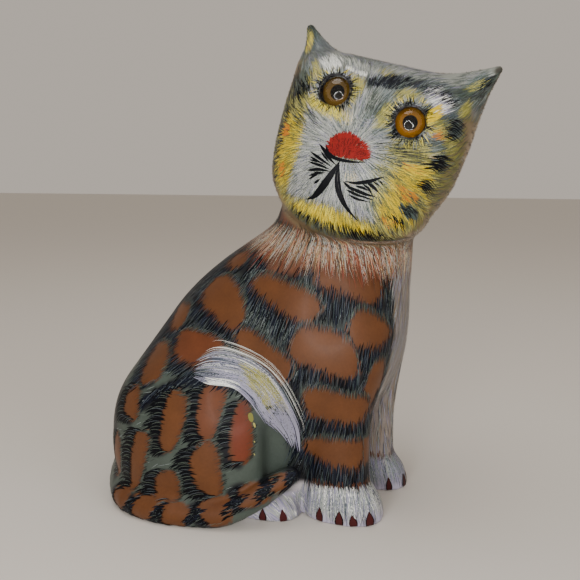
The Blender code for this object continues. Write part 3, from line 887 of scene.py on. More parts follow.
def stored(material, name):
    """Colours stored at the points of a mesh."""
    return add_node(material, "ShaderNodeAttribute", {}, "Color", attribute_name=name)


def colour_by(material, output):
    shader = material.node_tree.nodes["Principled BSDF"]
    material.node_tree.links.new(output, shader.inputs["Base Color"])


MOTTLES = ((160.0, 3.0, 0.5), (1400.0, 2.0, 0.3))   # scale, detail, strength
MOTTLE_LOW = 0.6
# sockets of a mix node that share their names with others
MIX_SHARE, MIX_UNDER, MIX_OVER, MIX_OUT = 0, 6, 7, 2


def skin_finish():
    """The stored coats, mottled a little."""
    material = plain_finish("painted_skin", (90, 96, 86))
    place = add_node(material, "ShaderNodeTexCoord", {}, "Object")
    shade = MOTTLE_LOW
    for scale, detail, strength in MOTTLES:
        cloud = add_node(material, "ShaderNodeTexNoise",
                         {"Vector": place, "Scale": scale, "Detail": detail}, "Fac")
        shade = add_node(material, "ShaderNodeMath", {0: cloud, 1: strength, 2: shade},
                         operation="MULTIPLY_ADD")
    grey = add_node(material, "ShaderNodeCombineColor", {0: shade, 1: shade, 2: shade})
    mixed = {MIX_SHARE: 1.0, MIX_UNDER: stored(material, "coat"), MIX_OVER: grey}
    colour_by(material, add_node(material, "ShaderNodeMix", mixed, MIX_OUT,
                                 data_type="RGBA", blend_type="MULTIPLY"))
    return material


def scatter(tones, where, kind, count, length, width):
    """Hairs from chance places of part of the skin, lying the way of their coat."""
    chosen = rng.choice(np.flatnonzero(where), count)
    aims = kind
    if isinstance(kind, str):
        aims = np.array([flow(kind, POINTS[i]) for i in chosen])
    lay(tones, POINTS[chosen], aims, length, width, stray=10.0, stay=True)


skin = add("painted_skin", SKIN)
SKIN.materials.append(skin_finish())
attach(skin, "root")
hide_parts("cat")


def within(values, low, high):
    return (values > low) & (values < high)


# parts of the skin, by height, distance ahead and distance from the middle
HEAD_REACH, HEAD_BACK = 1.2, 0.3
ON_HEAD = head(POINTS.T) < HEAD_REACH
HIGH, AHEAD, ASIDE = POINTS[:, 2], -POINTS[:, 1], np.abs(POINTS[:, 0])
chest = (ASIDE < 11.0) & (AHEAD > 20.0)
upper = ~ON_HEAD & ~chest & ((HIGH > 46.0) | (AHEAD > 14.0)) & (HIGH > 12.0)
spotted = max_depth(POINTS, NORMALS)
between = upper & (spotted < -0.4)
# pale hairs over the shoulders: partly the coat's own fine hairs, partly painted highlight
shoulder = between & within(HIGH, 60.0, 80.0) & within(AHEAD, 4.0, 22.0)
haunch_green = ~ON_HEAD & within(HIGH, 9.0, 45.0) & (AHEAD < 4.0) & (spotted < -1.0)
for hairs in (
        ("navy ink", between, "coat", 3200, 4.6, 0.32),
        ("slate steel teal", between, "coat", 1400, 5.6, 0.11),
        ("sage mist slate", between, "coat", 300, 4.6, 0.11),
        ("mist sage slate", shoulder, "coat", 480, 5.6, 0.075),
        ("mist moss sage", haunch_green, "haunch", 500, 3.0, 0.12)):
    scatter(*hairs)
for kind, rows in ROWS.items():
    for *numbers, extras in rows:
        for one in spots:
            if one["kind"] == kind:
                row(one, *numbers, **extras)
BAND_HAIRS, BAND_PALE_HAIRS, BAND_LEAN = 70, 18, np.array([0.0, 0.86, -0.5])
for x, y, z in TAIL_BANDS:
    start = np.array([x, y, z]) + rng.normal(0, 1, (BAND_HAIRS, 1)) * np.array([0, -1.1, 1.9])
    start[:, 1] += rng.normal(0, 0.8, BAND_HAIRS) - 0.6
    lay("ink ink navy", start, BAND_LEAN, 2.8, 0.42, 0.3, "spindle")
    lay("slate sage", start[:BAND_PALE_HAIRS], BAND_LEAN, 2.8, 0.12, 0.3)
for side in (1, -1):
    line = np.array(rounded(THIGH_LINE, 12)) * np.array([side, 1, 1])
    for tones, offset, width in (("ink navy", 1.6, 0.4), ("ink navy", 0.0, 0.4),
                                 ("slate steel", 1.0, 0.12)):
        start = line + rng.normal(0, 0.4, line.shape) + np.array([0, 0, offset])
        lay(tones, start, np.array([0.0, 0.6, -0.8]), 3.8, width, -0.4 * side, "spindle")


# ---- face ----
def on_face(s, u):
    """Surface of the face at head places across and up."""
    s, u = (np.atleast_1d(np.asarray(v, float)) for v in (s, u))
    start = (HEAD_CENTRE + s[:, None] * HEAD_AXES[0] + u[:, None] * HEAD_AXES[1]
             + 60.0 * HEAD_AXES[2])
    return cast(start, np.broadcast_to(-HEAD_AXES[2], start.shape))


def outward(s, u, centre):
    """Ways along the face from a centre."""
    away = (np.asarray(s) - centre[0])[:, None] * HEAD_AXES[0]
    return unit(away + (np.asarray(u) - centre[1])[:, None] * HEAD_AXES[1] + 1e-6)


TONE_NAMES = np.array(list(TONES))
PALETTE = np.sqrt([colour(*rgb) for rgb in TONES.values()])
NOT_FUR = np.isin(TONE_NAMES, "peach russet rust umber red brick maroon tan".split())


def kindred(points, gain):
    """Tone nearest to the coat under each point, lightened or darkened."""
    base = base_coats(points, np.tile(HEAD_AXES[2], (len(points), 1)))
    wanted = np.sqrt(np.clip(base * gain, 0, 1))
    gaps = ((wanted[:, None] - PALETTE[None]) ** 2).sum(2) + NOT_FUR
    gaps += rng.uniform(0, 0.012, gaps.shape)
    return TONE_NAMES[gaps.argmin(1)]


def disc(s, u, half_s, half_u, turn, count):
    """Chance places inside an oval of the face."""
    r, a = np.sqrt(rng.uniform(0, 1, count)), rng.uniform(0, math.tau, count)
    x, y = half_s * r * np.cos(a), half_u * r * np.sin(a)
    c, k = math.cos(math.radians(turn)), math.sin(math.radians(turn))
    return s + c * x - k * y, u + k * x + c * y


LASH_GAP = 4.9                    # room for the lashes round the middle of an eye


def fur(s, u, half_s, half_u, turn, count, gain, length, width, tones=None, shape="hair"):
    """Hairs over an oval of the face that spread from the nose."""
    s, u = disc(s, u, half_s, half_u, turn, count)
    keep = from_eyes(s, u) >= LASH_GAP
    s, u = s[keep], u[keep]
    starts, aims = on_face(s, u), outward(s, u, NOSE)
    seen = np.isfinite(starts).all(1)
    starts, aims = starts[seen], aims[seen]
    chosen = kindred(starts, gain) if tones is None else tones
    lay(chosen, starts - 0.4 * length * aims, aims, length, width, shape=shape, stray=7.0)


def brushed(tones, s, u, centre, length, width, shape="comma", stray=16.0):
    """Hairs from places of the face that spread from a centre."""
    lay(tones, on_face(s, u), outward(s, u, centre), length, width, 0.0, shape, stray)


def lashes():
    """Dark hairs with pale ones between, all round each eye."""
    for seat, _ in EYES.values():
        for tones, count, near, length, width in (
                ("straw lemon mist", 54, 5.0, 2.6, 0.15),
                ("ink char", 120, 4.05, 1.5, 0.24), ("ink", 84, 4.4, 3.0, 0.2),
                ("lemon straw", 24, 5.6, 2.0, 0.13)):
            a = rng.uniform(0, math.tau, count)
            s, u = seat[0] + near * np.cos(a), seat[1] + near * np.sin(a)
            brushed(tones, s, u, seat, length, width)


DRAWN_STEPS = 16                  # the drawn strokes are smoothed along these steps


def drawn(tone, points, width):
    """One named stroke of the face through (across, up) points."""
    points = np.array(points, float)
    at = np.linspace(0, len(points) - 1, DRAWN_STEPS)
    s, u = (np.interp(at, np.arange(len(points)), points[:, i]) for i in (0, 1))
    for _ in range(2):
        s[1:-1], u[1:-1] = (0.25 * (v[:-2] + 2 * v[1:-1] + v[2:]) for v in (s, u))
    put(tone, on_face(s, u)[None], width, "spindle")


FUR = [
    # centre, half sizes, turn, count, gain, length, width
    (0, 0, 26, 26, 0, 3600, 1.1, 4.2, 0.22), (0, 0, 26, 26, 0, 1700, 0.4, 4.2, 0.13),
    (-3, -4, 13, 13, 0, 1500, 1.5, 4.4, 0.15), (0, 0, 26, 26, 0, 1900, 1.35, 3.4, 0.15),
    (0, 0, 26, 26, 0, 2300, 0.22, 4.4, 0.12), (-3, -4, 15, 15, 0, 700, 0.3, 3.8, 0.1),
    (14, -6, 8, 14, 0, 520, 0.25, 4.6, 0.14), (-20, -4, 4, 14, 8, 240, 0.25, 4, 0.13),
    (0, 0, 26, 26, 0, 700, 1.7, 3, 0.12), (-23, 20, 5, 8, 20, 260, 0.8, 3.6, 0.14),
    (-23, 20, 5, 8, 20, 260, 1.5, 3.6, 0.12), (22, 22, 7, 7, 0, 420, 0.5, 3.6, 0.14),
    (22, 22, 7, 7, 0, 420, 1.4, 3.6, 0.13), (26, 25, 3, 7, -20, 160, 0.4, 4, 0.13),
]
for oval in FUR:
    fur(*oval)
TUFTS = [
    # tones, centre, half sizes, turn, count, length, width, shape if not plain
    ("ink moss char", -23.2, 3, 1.5, 12, 10, 90, 4.4, 0.24, "spindle"),
    ("ink moss", -20.5, 8.5, 2, 3, 0, 26, 5, 0.26, "spindle"),
    ("ink char", -16.5, 1, 4, 4, 0, 30, 4.6, 0.13),
    ("ink moss", -21.6, -10, 1.4, 8, 12, 40, 3.2, 0.26, "spindle"),
    ("ink moss", -4, -23, 9, 1, -2, 40, 4.2, 0.16),
    ("moss ink", 12.6, -21, 3.2, 1.3, 12, 24, 4.4, 0.3, "spindle"),
    ("teal moss", 17.6, -12, 2.2, 1.3, -20, 26, 4, 0.5, "spindle"),
    ("ink moss", 16, -15.5, 3.4, 1.4, -30, 18, 3.8, 0.26, "spindle"),
    ("ink navy", -1.4, 16, 3.2, 1, 22, 44, 2.8, 0.18),
    ("ink navy", 3, 17.5, 4, 1.5, 20, 130, 3.2, 0.2),
    ("mist sage slate", 1.4, 16.6, 5.6, 1.8, 20, 26, 3, 0.1),
    ("char ash sage", -0.8, 11.4, 1.8, 3.2, 6, 90, 4.4, 0.1),
    ("char steel", 10, 19.6, 5, 0.9, 16, 60, 3.6, 0.15),
    ("white", -15.4, 17.2, 2.8, 2.4, 20, 70, 3.8, 0.15),
    # a thin white line along the brow's ledge over the right eye: painted highlight
    ("white bone", -8.4, 16.8, 3.4, 0.3, -2, 70, 1.7, 0.13),
    ("white lavender", 14.4, 16.6, 4.2, 1.9, -34, 80, 3.6, 0.14),
    ("ink navy char", 13.2, 18.4, 6.2, 1.2, -10, 110, 4.4, 0.15),
    ("ink moss", 9, 2, 4, 7, -20, 70, 4.6, 0.12),
    ("yellow", 14.8, 12.8, 1.4, 2.5, -20, 60, 2.6, 0.22),
    ("orange", 16.5, -7.6, 2.6, 1, -20, 16, 3, 0.14),
    ("orange yellow", 16, -1.6, 3, 1.2, -10, 18, 3.4, 0.14),
    ("orange", -20.8, -3.4, 1, 2, 10, 22, 2.6, 0.24),
    ("orange", -18, -13.5, 0.9, 2, 20, 18, 2.6, 0.24),
    ("mist sage", 9, 18.8, 6, 1.8, 14, 34, 4, 0.12),
    ("straw sage", 21.6, 24.6, 1, 3, -42, 30, 2.6, 0.16),
    ("ink moss", 23.2, 25.4, 0.7, 3, -30, 20, 3, 0.2),
]
for tones, s, u, half_s, half_u, turn, count, length, width, *shape in TUFTS:
    fur(s, u, half_s, half_u, turn, count, 1.0, length, width, tones, *shape)
lashes()

NOSE_EDGE = [(-6.4, -4.9), (-7.0, -2.6), (-5.8, -0.8), (-3.3, 0.9), (0.0, 0.3), (3.2, -2.0),
             (4.3, -3.4), (2.3, -4.3), (-0.3, -5.2), (-3.0, -5.8), (-5.3, -5.6)]
NOSE_MIDDLE, NOSE_FOOT = (-1.6, -2.8), (-1.6, -7.0)
NOSE_DABS, NOSE_HAIRS = 900, 240
edge = np.array(NOSE_EDGE)
at = rng.uniform(0, len(edge), NOSE_DABS)
rim = np.stack([np.interp(at, np.arange(len(edge) + 1), np.append(edge[:, i], edge[0, i]))
                for i in (0, 1)], 1)
s, u = (NOSE_MIDDLE + (rim - NOSE_MIDDLE) * np.sqrt(rng.uniform(0, 0.8, (NOSE_DABS, 1)))).T
brushed("red red brick", s, u, NOSE_FOOT, 1.5, 0.26, "dab", 20.0)
brushed("brick maroon", s[:NOSE_HAIRS], u[:NOSE_HAIRS], NOSE_FOOT, 1.8, 0.14, "hair", 20.0)
a = np.linspace(0.2, math.pi - 0.3, 44)
brushed("red", -1.4 + 5.0 * np.cos(a), -3.2 + 3.3 * np.sin(a), (-1.4, -6.0), 1.5, 0.28,
        stray=6.0)
DRAWN = [
    # width, then (across, up) points
    (1.2, (-7.4, -3.4), (-6, -5.3), (-3.4, -6), (1.2, -5.2), (4.2, -4)),
    (2.2, (-2.2, -6.2), (-3.1, -10.2), (-4.3, -13.9), (-5.8, -17), (-8, -18.4)),
    (1.8, (-2.2, -6.4), (-1.4, -10), (0.2, -13.5), (3.2, -16.6), (6.9, -18.8)),
    (0.9, (-9.2, -3.8), (-7, -5), (-5, -6.4), (-2.6, -7.4)),
    (0.5, (-8, -5.4), (-6.4, -6.4), (-4.4, -7.4)),
    (0.9, (-10.8, -6.4), (-7.6, -7.2), (-3.4, -8.2)),
    (0.6, (-10.6, -7.6), (-8.4, -7.9), (-5, -8.4)), (0.9, (-10.4, -9), (-6.9, -8.8), (-3.6, -8.9)),
    (0.9, (-9.8, -11.2), (-7, -9.9), (-3.4, -9.3)), (0.7, (-9, -12.4), (-6.8, -10.9), (-4.4, -10)),
    (0.5, (-10.2, -8.4), (-8.4, -8.2), (-6, -8)), (0.6, (-8.6, -13.2), (-7.6, -12), (-6.4, -11.2)),
    (0.6, (-6.9, -13.8), (-6.2, -12.9), (-5.4, -11.8)),
    (0.4, (-7.8, -11), (-6.9, -10.7), (-5.6, -10.2)),
    (1, (9.6, -5.8), (6.7, -8.2), (3.6, -9.9), (0.7, -10.4)),
    (0.8, (1.2, -11.2), (4.3, -11.5), (7, -11.6), (9.6, -11.3)),
    (0.7, (1.8, -12.2), (4.6, -12.5), (7.4, -12.4)), (0.7, (0.4, -10.5), (2.2, -11.3), (4, -12.1)),
    (0.7, (2.8, -13.2), (5.2, -13.5), (8.4, -13.1)),
    (0.8, (3.6, -10.5), (5.6, -10.3), (7.6, -10.5)), (0.8, (6, -8.7), (8, -9.2), (9.9, -10.2)),
    (0.7, (5.2, -9.4), (7, -9.9), (8.8, -11.6)), (0.4, (7.4, -8), (8.4, -8.2), (9.4, -8.4)),
    (0.4, (8.8, -7.2), (9.4, -7.5), (10, -7.9)), (0.5, (5.8, -12.2), (7.4, -12.4), (9.2, -12.2)),
]
for width, *points in DRAWN:
    drawn("ink", points, width)
BLACK_TUFTS = [
    # width, then (across, up) points
    (1.2, (17.8, 2.8), (20.6, 3.9), (23.4, 3.8)), (1.5, (17.4, 1.2), (20.4, 2.3), (23.4, 1.9)),
    (1.1, (17.6, -0.2), (20, 0.8), (22.6, 0.2)), (0.9, (19, 13.4), (20.8, 13.5), (23, 12.9)),
    (1.1, (18.9, 11.5), (21, 11.9), (23.4, 11)), (1, (19.4, 9.5), (21.2, 9.9), (23, 9.3)),
    (0.8, (17.4, -3.6), (19.8, -3.1), (22.4, -4.4)), (0.9, (16.8, -5), (19.4, -4.6), (21.8, -6.2)),
    (0.8, (15.8, -11.2), (17.8, -11.4), (19.8, -12.6)),
    (0.6, (16.4, -12.8), (18, -13), (19.4, -14)), (0.7, (3.6, -20.6), (4.6, -23), (6.4, -25.4)),
    (0.9, (5.2, -20.4), (6.6, -22.8), (8.8, -25.4)),
    (0.95, (6.8, -20.2), (8.4, -22.6), (10.6, -25.2)),
    (0.8, (8.6, -20.2), (10, -22.2), (12, -24.6)), (0.5, (2, -21.2), (2.8, -23.2), (4, -25.2)),
    (0.45, (0.4, -21.6), (1, -23.4), (2.2, -25.2)),
    (0.4, (-1.6, -21.8), (-1.4, -23.6), (-0.6, -25.4)),
    (0.45, (-4, -22), (-4.2, -23.8), (-3.6, -25.6)),
    (0.4, (-6.2, -22.2), (-6.8, -23.8), (-6.8, -25.6)),
    (0.5, (-8.6, -21.8), (-9.6, -23.4), (-10, -25)),
    (0.4, (-10.8, -20.8), (-12, -22.2), (-12.8, -23.8)),
    (0.5, (10.6, -20.4), (12, -21.8), (14, -23.6)), (0.4, (12.6, -19.6), (14, -20.8), (15.8, -22)),
    (0.6, (-19.8, 11.6), (-18.6, 8.8), (-17.6, 6.8)), (0.5, (-21.4, 10.6), (-20, 8), (-18.8, 5.8)),
    (0.5, (-22.6, 9.2), (-21.2, 6.8), (-20, 4.6)), (0.5, (-23.4, 6.8), (-22.2, 4.4), (-21, 2.4)),
    (0.5, (-23.8, 3.4), (-22.8, 1.4), (-21.8, -0.4)),
]
TUFT_SHIFTS, TUFT_SPREAD, TUFT_WANDER, TUFT_WIDTH = (-0.8, -0.3, 0.2, 0.7), 0.7, 0.3, 0.3
for width, *points in BLACK_TUFTS:
    for shift in TUFT_SHIFTS:
        wander = rng.uniform(-TUFT_WANDER, TUFT_WANDER, (len(points), 2))
        drawn("ink", np.array(points) + shift * TUFT_SPREAD * width + wander, TUFT_WIDTH * width)
drawn("char", [(-2.6, -7.4), (-3.6, -11.0), (-4.6, -13.8), (-5.8, -16.0)], 0.35)
drawn("char", [(-1.6, -8.4), (-1.2, -10.4), (0.4, -13.2)], 0.3)


# ---- collar, chest, paws ----
NECK = (-1.0, -24.0)


def ring_points(angles, height, centre):
    """Outermost places at given heights, at angles round an upright axis."""
    out = np.stack([np.cos(angles), np.sin(angles), np.zeros(len(angles))], 1)
    start = 80.0 * out + np.stack([np.full(len(angles), centre[0]),
                                   np.full(len(angles), centre[1]), height], 1)
    return cast(start, -out), out


def collar(tones, count, length, width, top, low):
    """Hairs that hang from under the chin all round the neck."""
    a = rng.uniform(0, math.tau, count)
    height = 86.0 + 2.6 * np.sin(a) + rng.uniform(low, 1.0, count) + top
    start, out = ring_points(a, height, NECK)
    lean = np.clip((start[:, 1:2] + 24.0) * 0.022, -0.5, 0.5)
    aims = np.concatenate([0.25 * out[:, :1], 0.25 * out[:, 1:2] + lean,
                           -np.ones((count, 1))], 1)
    lay(tones, start, aims, length, width)


head_back = ON_HEAD & (NORMALS @ HEAD_AXES[2] < HEAD_BACK)
scatter("umber char tan", head_back, -HEAD_AXES[2], 2600, 4.4, 0.15)
scatter("tan ash", head_back, -HEAD_AXES[2], 700, 4.0, 0.12)
for hairs in (
        ("umber rust russet", 700, 8.0, 0.24, 0.0, -6.0),
        # the moss and teal hairs start highest, just under the chin; their dark green is partly
        # the collar's own colour, partly painted shade under the chin
        ("moss teal umber", 420, 7.0, 0.16, 1.5, -3.0),
        ("tan peach ash", 900, 7.6, 0.16, 0.0, -4.0), ("peach tan ash", 800, 8.0, 0.12, 0.0, -4.0),
        ("bone cream ash", 420, 8.4, 0.11, 0.0, -3.0), ("umber rust", 420, 7.0, 0.11, 0.0, -5.0)):
    collar(*hairs)

# pale chest: fine hairs that lean outwards at its sides
CHEST_HAIRS = 1500
start = np.stack([rng.uniform(-12, 14, CHEST_HAIRS), np.full(CHEST_HAIRS, -90.0),
                  rng.uniform(14, 80, CHEST_HAIRS)], 1)
start = cast(start, np.broadcast_to((0.0, 1.0, 0.0), start.shape))
lean = 0.03 * (start[:, :1] - 1.0)
aims = np.concatenate([lean, np.zeros_like(lean), -np.ones_like(lean)], 1)
lay("ash lavender mist tan steel", start, aims, 5.4, 0.16)

# part of a front paw that hairs are laid on: angles, and limits aside and back
PAW_SPAN, PAW_SIDE, PAW_BACK = (math.radians(140), math.radians(400)), 23.0, -15.0


def paw(side, centre):
    """Fine hairs down a front paw, from a ragged edge; greyer on the far paw, as painted shade."""
    # the far paw takes greyer, darker tones than the near one: painted shade
    bright, pale = ("ash bone white", "bone white") if side < 0 else (
        "steel lavender mist", "lavender mist")
    for tones, count, length, width, top in (
            ("lavender mist ash", 360, 6.4, 0.24, 11.8), (bright, 300, 7.2, 0.18, 11.8),
            (pale, 170, 7.0, 0.15, 11.4), ("slate steel", 300, 5.6, 0.1, 11.8),
            ("char steel", 60, 4.6, 0.12, 7.0), ("rust umber", 140, 2.6, 0.18, 13.4)):
        a = rng.uniform(*PAW_SPAN, count)
        start, out = ring_points(a, top - rng.uniform(0, 4.8 if top < 13 else 2.0, count), centre)
        start[(np.abs(start[:, 0]) > PAW_SIDE) | (start[:, 1] > PAW_BACK)] = np.inf
        aims = np.concatenate([0.3 * out[:, :2], -np.ones((count, 1))], 1)
        lay(tones, start, aims, length, width)


# the way each claw faces in degrees, on the near and the far paw and on the
# near hind foot; -90 is straight ahead
NEAR_CLAWS, FAR_CLAWS = (-190.0, -150.0, -113.0, -56.0, -34.0), (2.0, -30.0, -64.0, -97.0, -118.0)
HIND_CLAWS = (-150.0, -118.0, -92.0)
CLAW_LOW, CLAW_TALL, HIND_TALL, CLAW_WIDTH = 0.4, 4.4, 3.6, 2.4
NAIL_LAYERS = 40                  # lifts a nail clear of the ink that edges it
CLAW_SHIFT, HIND_SHIFT = 4.0, 2.0


def claws(centre, turns, tall):
    """Red claws edged with ink, from the ground up the front of a foot."""
    for turn in turns:
        a = np.radians([turn])
        low, high = (ring_points(a, np.array([z]), centre)[0][0] for z in (CLAW_LOW, tall))
        path = np.linspace(low, high, HAIR_STEPS)[None]
        put("ink", path, CLAW_WIDTH, "claw")
        layers[0] += NAIL_LAYERS
        put("maroon", path, CLAW_WIDTH, "nail")
        layers[0] -= NAIL_LAYERS


hind_foot = (HIGH < 7.6) & within(AHEAD, 2.0, 18.0) & within(ASIDE, 14.0, 28.0)
for tones, count, width in (("lavender ash", 420, 0.3), ("bone white ash", 260, 0.18),
                            ("steel lavender", 90, 0.14)):
    scatter(tones, hind_foot, np.array([-0.2, -0.8, -0.6]), count, 4.0, width)
for side, forward, turns in ((-1, 0.0, NEAR_CLAWS), (1, LEFT_LEG_FORWARD, FAR_CLAWS)):
    centre = (PAW_CENTRE[0] * side, PAW_CENTRE[1] - forward + CLAW_SHIFT)
    paw(side, centre)
    claws(centre, turns, CLAW_TALL)
    claws((FOOT_CENTRE[0] * side, FOOT_CENTRE[1] + HIND_SHIFT),
          [turn if side < 0 else -180.0 - turn for turn in HIND_CLAWS], HIND_TALL)


# ---- white blaze on a haunch ----
BLAZE_TOP = [(-30, 13.5, 49.5), (-27.5, 7, 52.5), (-26.5, -3, 51), (-27, -11, 47), (-26, -16, 40),
             (-23, -19, 30), (-20, -18, 21)]
BLAZE_LOW = [(-31, 12, 44), (-30, 7, 42.5), (-29, 0, 42), (-28, -5, 38), (-27, -8, 33),
             (-24, -11, 27), (-21, -15, 21)]
BLAZE_STEPS = 12
BLAZES = [
    # tones, count, share of the length, width, lowest and highest start across
    # the blaze, first and last start along it
    ("haze steel", 110, 0.2, 0.22, -0.04, 0.9, 0.0, 0.26),
    ("haze", 170, 0.24, 0.6, 0.1, 0.84, 0.2, 0.72),
    ("lavender haze", 210, 0.22, 0.18, -0.05, 0.98, 0.1, 0.74),
    ("steel slate", 280, 0.2, 0.13, 0.0, 1.0, 0.0, 0.66),
    ("straw olive", 200, 0.15, 0.2, 0.22, 0.84, 0.28, 0.58),
    ("white ash", 80, 0.26, 0.1, 0.3, 1.08, 0.0, 0.5),
    ("white bone", 46, 0.11, 0.22, -0.06, 0.16, 0.12, 0.3),
    ("white bone", 14, 0.34, 0.09, 1.0, 1.24, 0.1, 0.46),
    ("coat moss", 30, 0.05, 0.5, 0.0, 0.7, 0.6, 0.86),
]


def blaze(side, tones, count, span, width, low, high, begin, end):
    """Hairs that sweep along the blaze, each over a share of its length."""
    edges = [np.array(rounded(row, 5)) for row in (BLAZE_LOW, BLAZE_TOP)]
    v = rng.uniform(low, high, count)
    t0 = rng.uniform(begin, end, count) + 0.1 * rng.random(count) * v
    v = v[:, None, None]
    reach_by = span * np.linspace(0, 1, BLAZE_STEPS)[None] * rng.uniform(0.6, 1.2, (count, 1))
    t = np.clip(t0[:, None] + reach_by, 0, 1) * (len(edges[0]) - 1)
    knots = np.arange(len(edges[0]))
    inner, outer = (np.stack([np.interp(t, knots, edge[:, i]) for i in range(3)], -1)
                    for edge in edges)
    path = inner * (1 - v) + outer * v
    path[..., 0] *= side
    put(tones, path, width)


for side in (1, -1):
    for sweep in BLAZES:
        blaze(side, *sweep)

# bare chips and dabs near the front edge of the haunch: place, length, width
CHIPS = [((-31.5, -7.4, 34.4), 3.0, 1.3), ((-31.6, -8.8, 32.0), 1.6, 0.5),
         ((-31.4, -8.2, 26.6), 0.5, 0.3), ((-31.2, -7.6, 22.6), 0.6, 0.3)]
for (x, y, z), long, wide in CHIPS:
    put("olive" if wide > 1 else "straw",
        np.linspace((x, y, z + long / 2), (x, y - 0.5, z - long / 2), HAIR_STEPS)[None],
        wide, "dab")

for tone, batches in laid.items():
    if batches:
        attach(stroke_piece(tone, batches), "root")


# ---- eyes ----
def eye_profile():
    """Half outline of the glass: domed front, short side, flat back."""
    r, dome = EYE_RADIUS, EYE_DOME
    sphere = (r * r + dome * dome) / (2.0 * dome)
    limit = math.asin(r / sphere)
    points = [(0.0, dome)]
    for i in range(1, 16):
        a = limit * i / 15.0
        points.append((sphere * math.sin(a), sphere * math.cos(a) - sphere + dome))
    return points + [(r, -EYE_SEAT + 0.3), (r - 0.3, -EYE_SEAT), (0.0, -EYE_SEAT)]


def lathe_piece(name, outline, matrix):
    """A turned piece, moved into its eye."""
    piece = add(name, lathe_mesh(name, outline))
    piece.data.transform(matrix)
    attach(piece, "root")
    return piece


CLEAR = finish("eye_glass", {"Base Color": (1.0, 1.0, 1.0, 1.0), "Roughness": 0.01,
                             "IOR": 1.5, "Transmission Weight": 1.0})
# light and dark amber of each iris; the dark also serves as painted shade at the top of the eye
AMBER = {"eye_right": ((106, 80, 34), (44, 33, 12)), "eye_left": ((140, 93, 18), (52, 37, 12))}
# discs behind the glass: radii of their rings, then thickness and finish
IRIS_RINGS = (0.0, 0.9, 1.5, 2.1, 2.6, 3.0, 3.42)
RIM_RINGS, PUPIL_RINGS = (3.25, 3.72), (0.0, 1.42)
DISC_THICK, DISC_ROUGH, IRIS_REACH = 0.04, 0.6, 3.4


def iris_finish(disc, light, dark):
    """Amber that darkens outwards, and darker towards the top of the eye as painted shade."""
    place = vectors(disc.data.vertices, "co") / MM
    out = place - place.mean(0)
    share = 0.55 * (np.linalg.norm(out, axis=1) / IRIS_REACH) ** 2
    # darker towards the top of the eye: painted shade from the glass and the brow
    share = share + 0.3 * (out @ HEAD_AXES[1]) / IRIS_REACH
    store(disc.data, "amber", blend(wash(light, len(place)), colour(*dark), share + 0.1))
    material = plain_finish(disc.name, light, DISC_ROUGH, 0.0)
    colour_by(material, stored(material, "amber"))
    return material


def eye_disc(name, radii, z, matrix, rgb=None):
    """A thin disc or ring behind the glass, facing out of the eye."""
    outline = [(r, z) for r in radii] + [(r, z - DISC_THICK) for r in reversed(radii)]
    disc = lathe_piece(name, outline, matrix)
    if rgb:
        disc.data.materials.append(plain_finish(name, rgb, DISC_ROUGH, 0.0))
    return disc


for node, (seat, splay) in EYES.items():
    matrix = eye_matrix(seat, splay)
    glass = lathe_piece(node + "_glass", eye_profile(), matrix)
    glass.data.materials.append(CLEAR)
    glass.data.set_sharp_from_angle(angle=GLASS_EDGE)
    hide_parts(node)
    z = -EYE_SEAT + 0.25
    iris = eye_disc(node + "_iris", IRIS_RINGS, z + 0.05, matrix)
    iris.data.materials.append(iris_finish(iris, *AMBER[node]))
    eye_disc(node + "_rim", RIM_RINGS, z + 0.12, matrix, (36, 24, 14))
    eye_disc(node + "_pupil", PUPIL_RINGS, z + 0.14, matrix, (2, 2, 3))


# ---- studio ----
FLOOR_HALF, FLOOR_DROP = 3.0, 0.0002                # in metres
mesh = bpy.data.meshes.new("studio_floor")
mesh.from_pydata([(x * FLOOR_HALF, y * FLOOR_HALF, 0.0)
                  for x, y in ((-1, -1), (1, -1), (1, 1), (-1, 1))], [], [(0, 1, 2, 3)])
mesh.materials.append(finish("studio_floor", {"Base Color": colour(214, 208, 200) + (1.0,),
                                              "Roughness": 0.75}))
floor = add("studio_floor", mesh)
floor.location = (0.0, 0.0, -FLOOR_DROP)


def aim_at(item, place, target):
    item.location = Vector(place) * MM
    ray = Vector(target) * MM - item.location
    item.rotation_euler = ray.to_track_quat("-Z", "Y").to_euler()


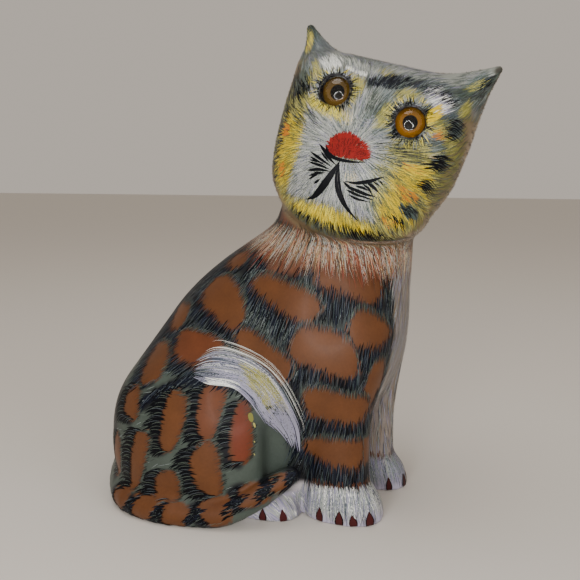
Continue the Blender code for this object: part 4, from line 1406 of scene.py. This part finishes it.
def lamp(name, place, target, size, power):
    light = bpy.data.lights.new(name, "AREA")
    light.shape, light.size, light.energy = "DISK", size * MM, power
    item = add(name, light)
    item.visible_camera = False
    aim_at(item, place, target)
    return item


CAMERA_PLACE = (-203.1, -80.9, 103.0)
CAMERA_TURN, CAMERA_DIP = 20.0, 9.6
CAMERA_LENS, SENSOR_WIDTH = 42.2, 36.0
camera = add("camera", bpy.data.cameras.new("camera"))
turn, dip = math.radians(CAMERA_TURN), math.radians(CAMERA_DIP)
sight = (math.cos(turn) * math.cos(dip), math.sin(turn) * math.cos(dip), -math.sin(dip))
aim_at(camera, CAMERA_PLACE, [a + 100.0 * b for a, b in zip(CAMERA_PLACE, sight)])
camera.data.lens, camera.data.sensor_width = CAMERA_LENS, SENSOR_WIDTH
camera.data.clip_start = 0.01
bpy.context.scene.camera = camera

for name, place, target, size, power, glossy in (
        ("key", (-560, 0, 120), (0, 0, 60), 170, 1.3, False),
        ("fill", (-260, -620, 220), (0, 0, 70), 500, 1.75, False),
        ("top", (-120, 60, 700), (0, 0, 60), 500, 1.5, True),
        ("front", (-216, -43, 61), (-20, -30, 80), 150, 0.23, False)):
    lamp(name, place, target, size, power).visible_glossy = glossy

# a ring of small lamps that shows as a thin circle in each glass eye
RING_LAMPS, RING_RADIUS, RING_CENTRE = 40, 50.0, (-99.7, -43.3, 78.0)
RING_LAMP_SIZE, RING_LAMP_POWER = 8.5, 0.0024
side_axis = Vector((math.sin(turn), -math.cos(turn), 0.0))
for i in range(RING_LAMPS):
    a = math.tau * i / RING_LAMPS
    place = (Vector(RING_CENTRE) + side_axis * (RING_RADIUS * math.cos(a))
             + Vector((0, 0, RING_RADIUS * math.sin(a))))
    lamp("ring_%02d" % i, place, (-20, -30, 100), RING_LAMP_SIZE,
         RING_LAMP_POWER).visible_diffuse = False

ROOM_TINT, ROOM_LIGHT = (222, 212, 200), 0.72       # even light from all round
world = bpy.data.worlds.new("studio")
world.use_nodes = True
background = world.node_tree.nodes["Background"]
background.inputs["Color"].default_value = colour(*ROOM_TINT) + (1.0,)
background.inputs["Strength"].default_value = ROOM_LIGHT
bpy.context.scene.world = world
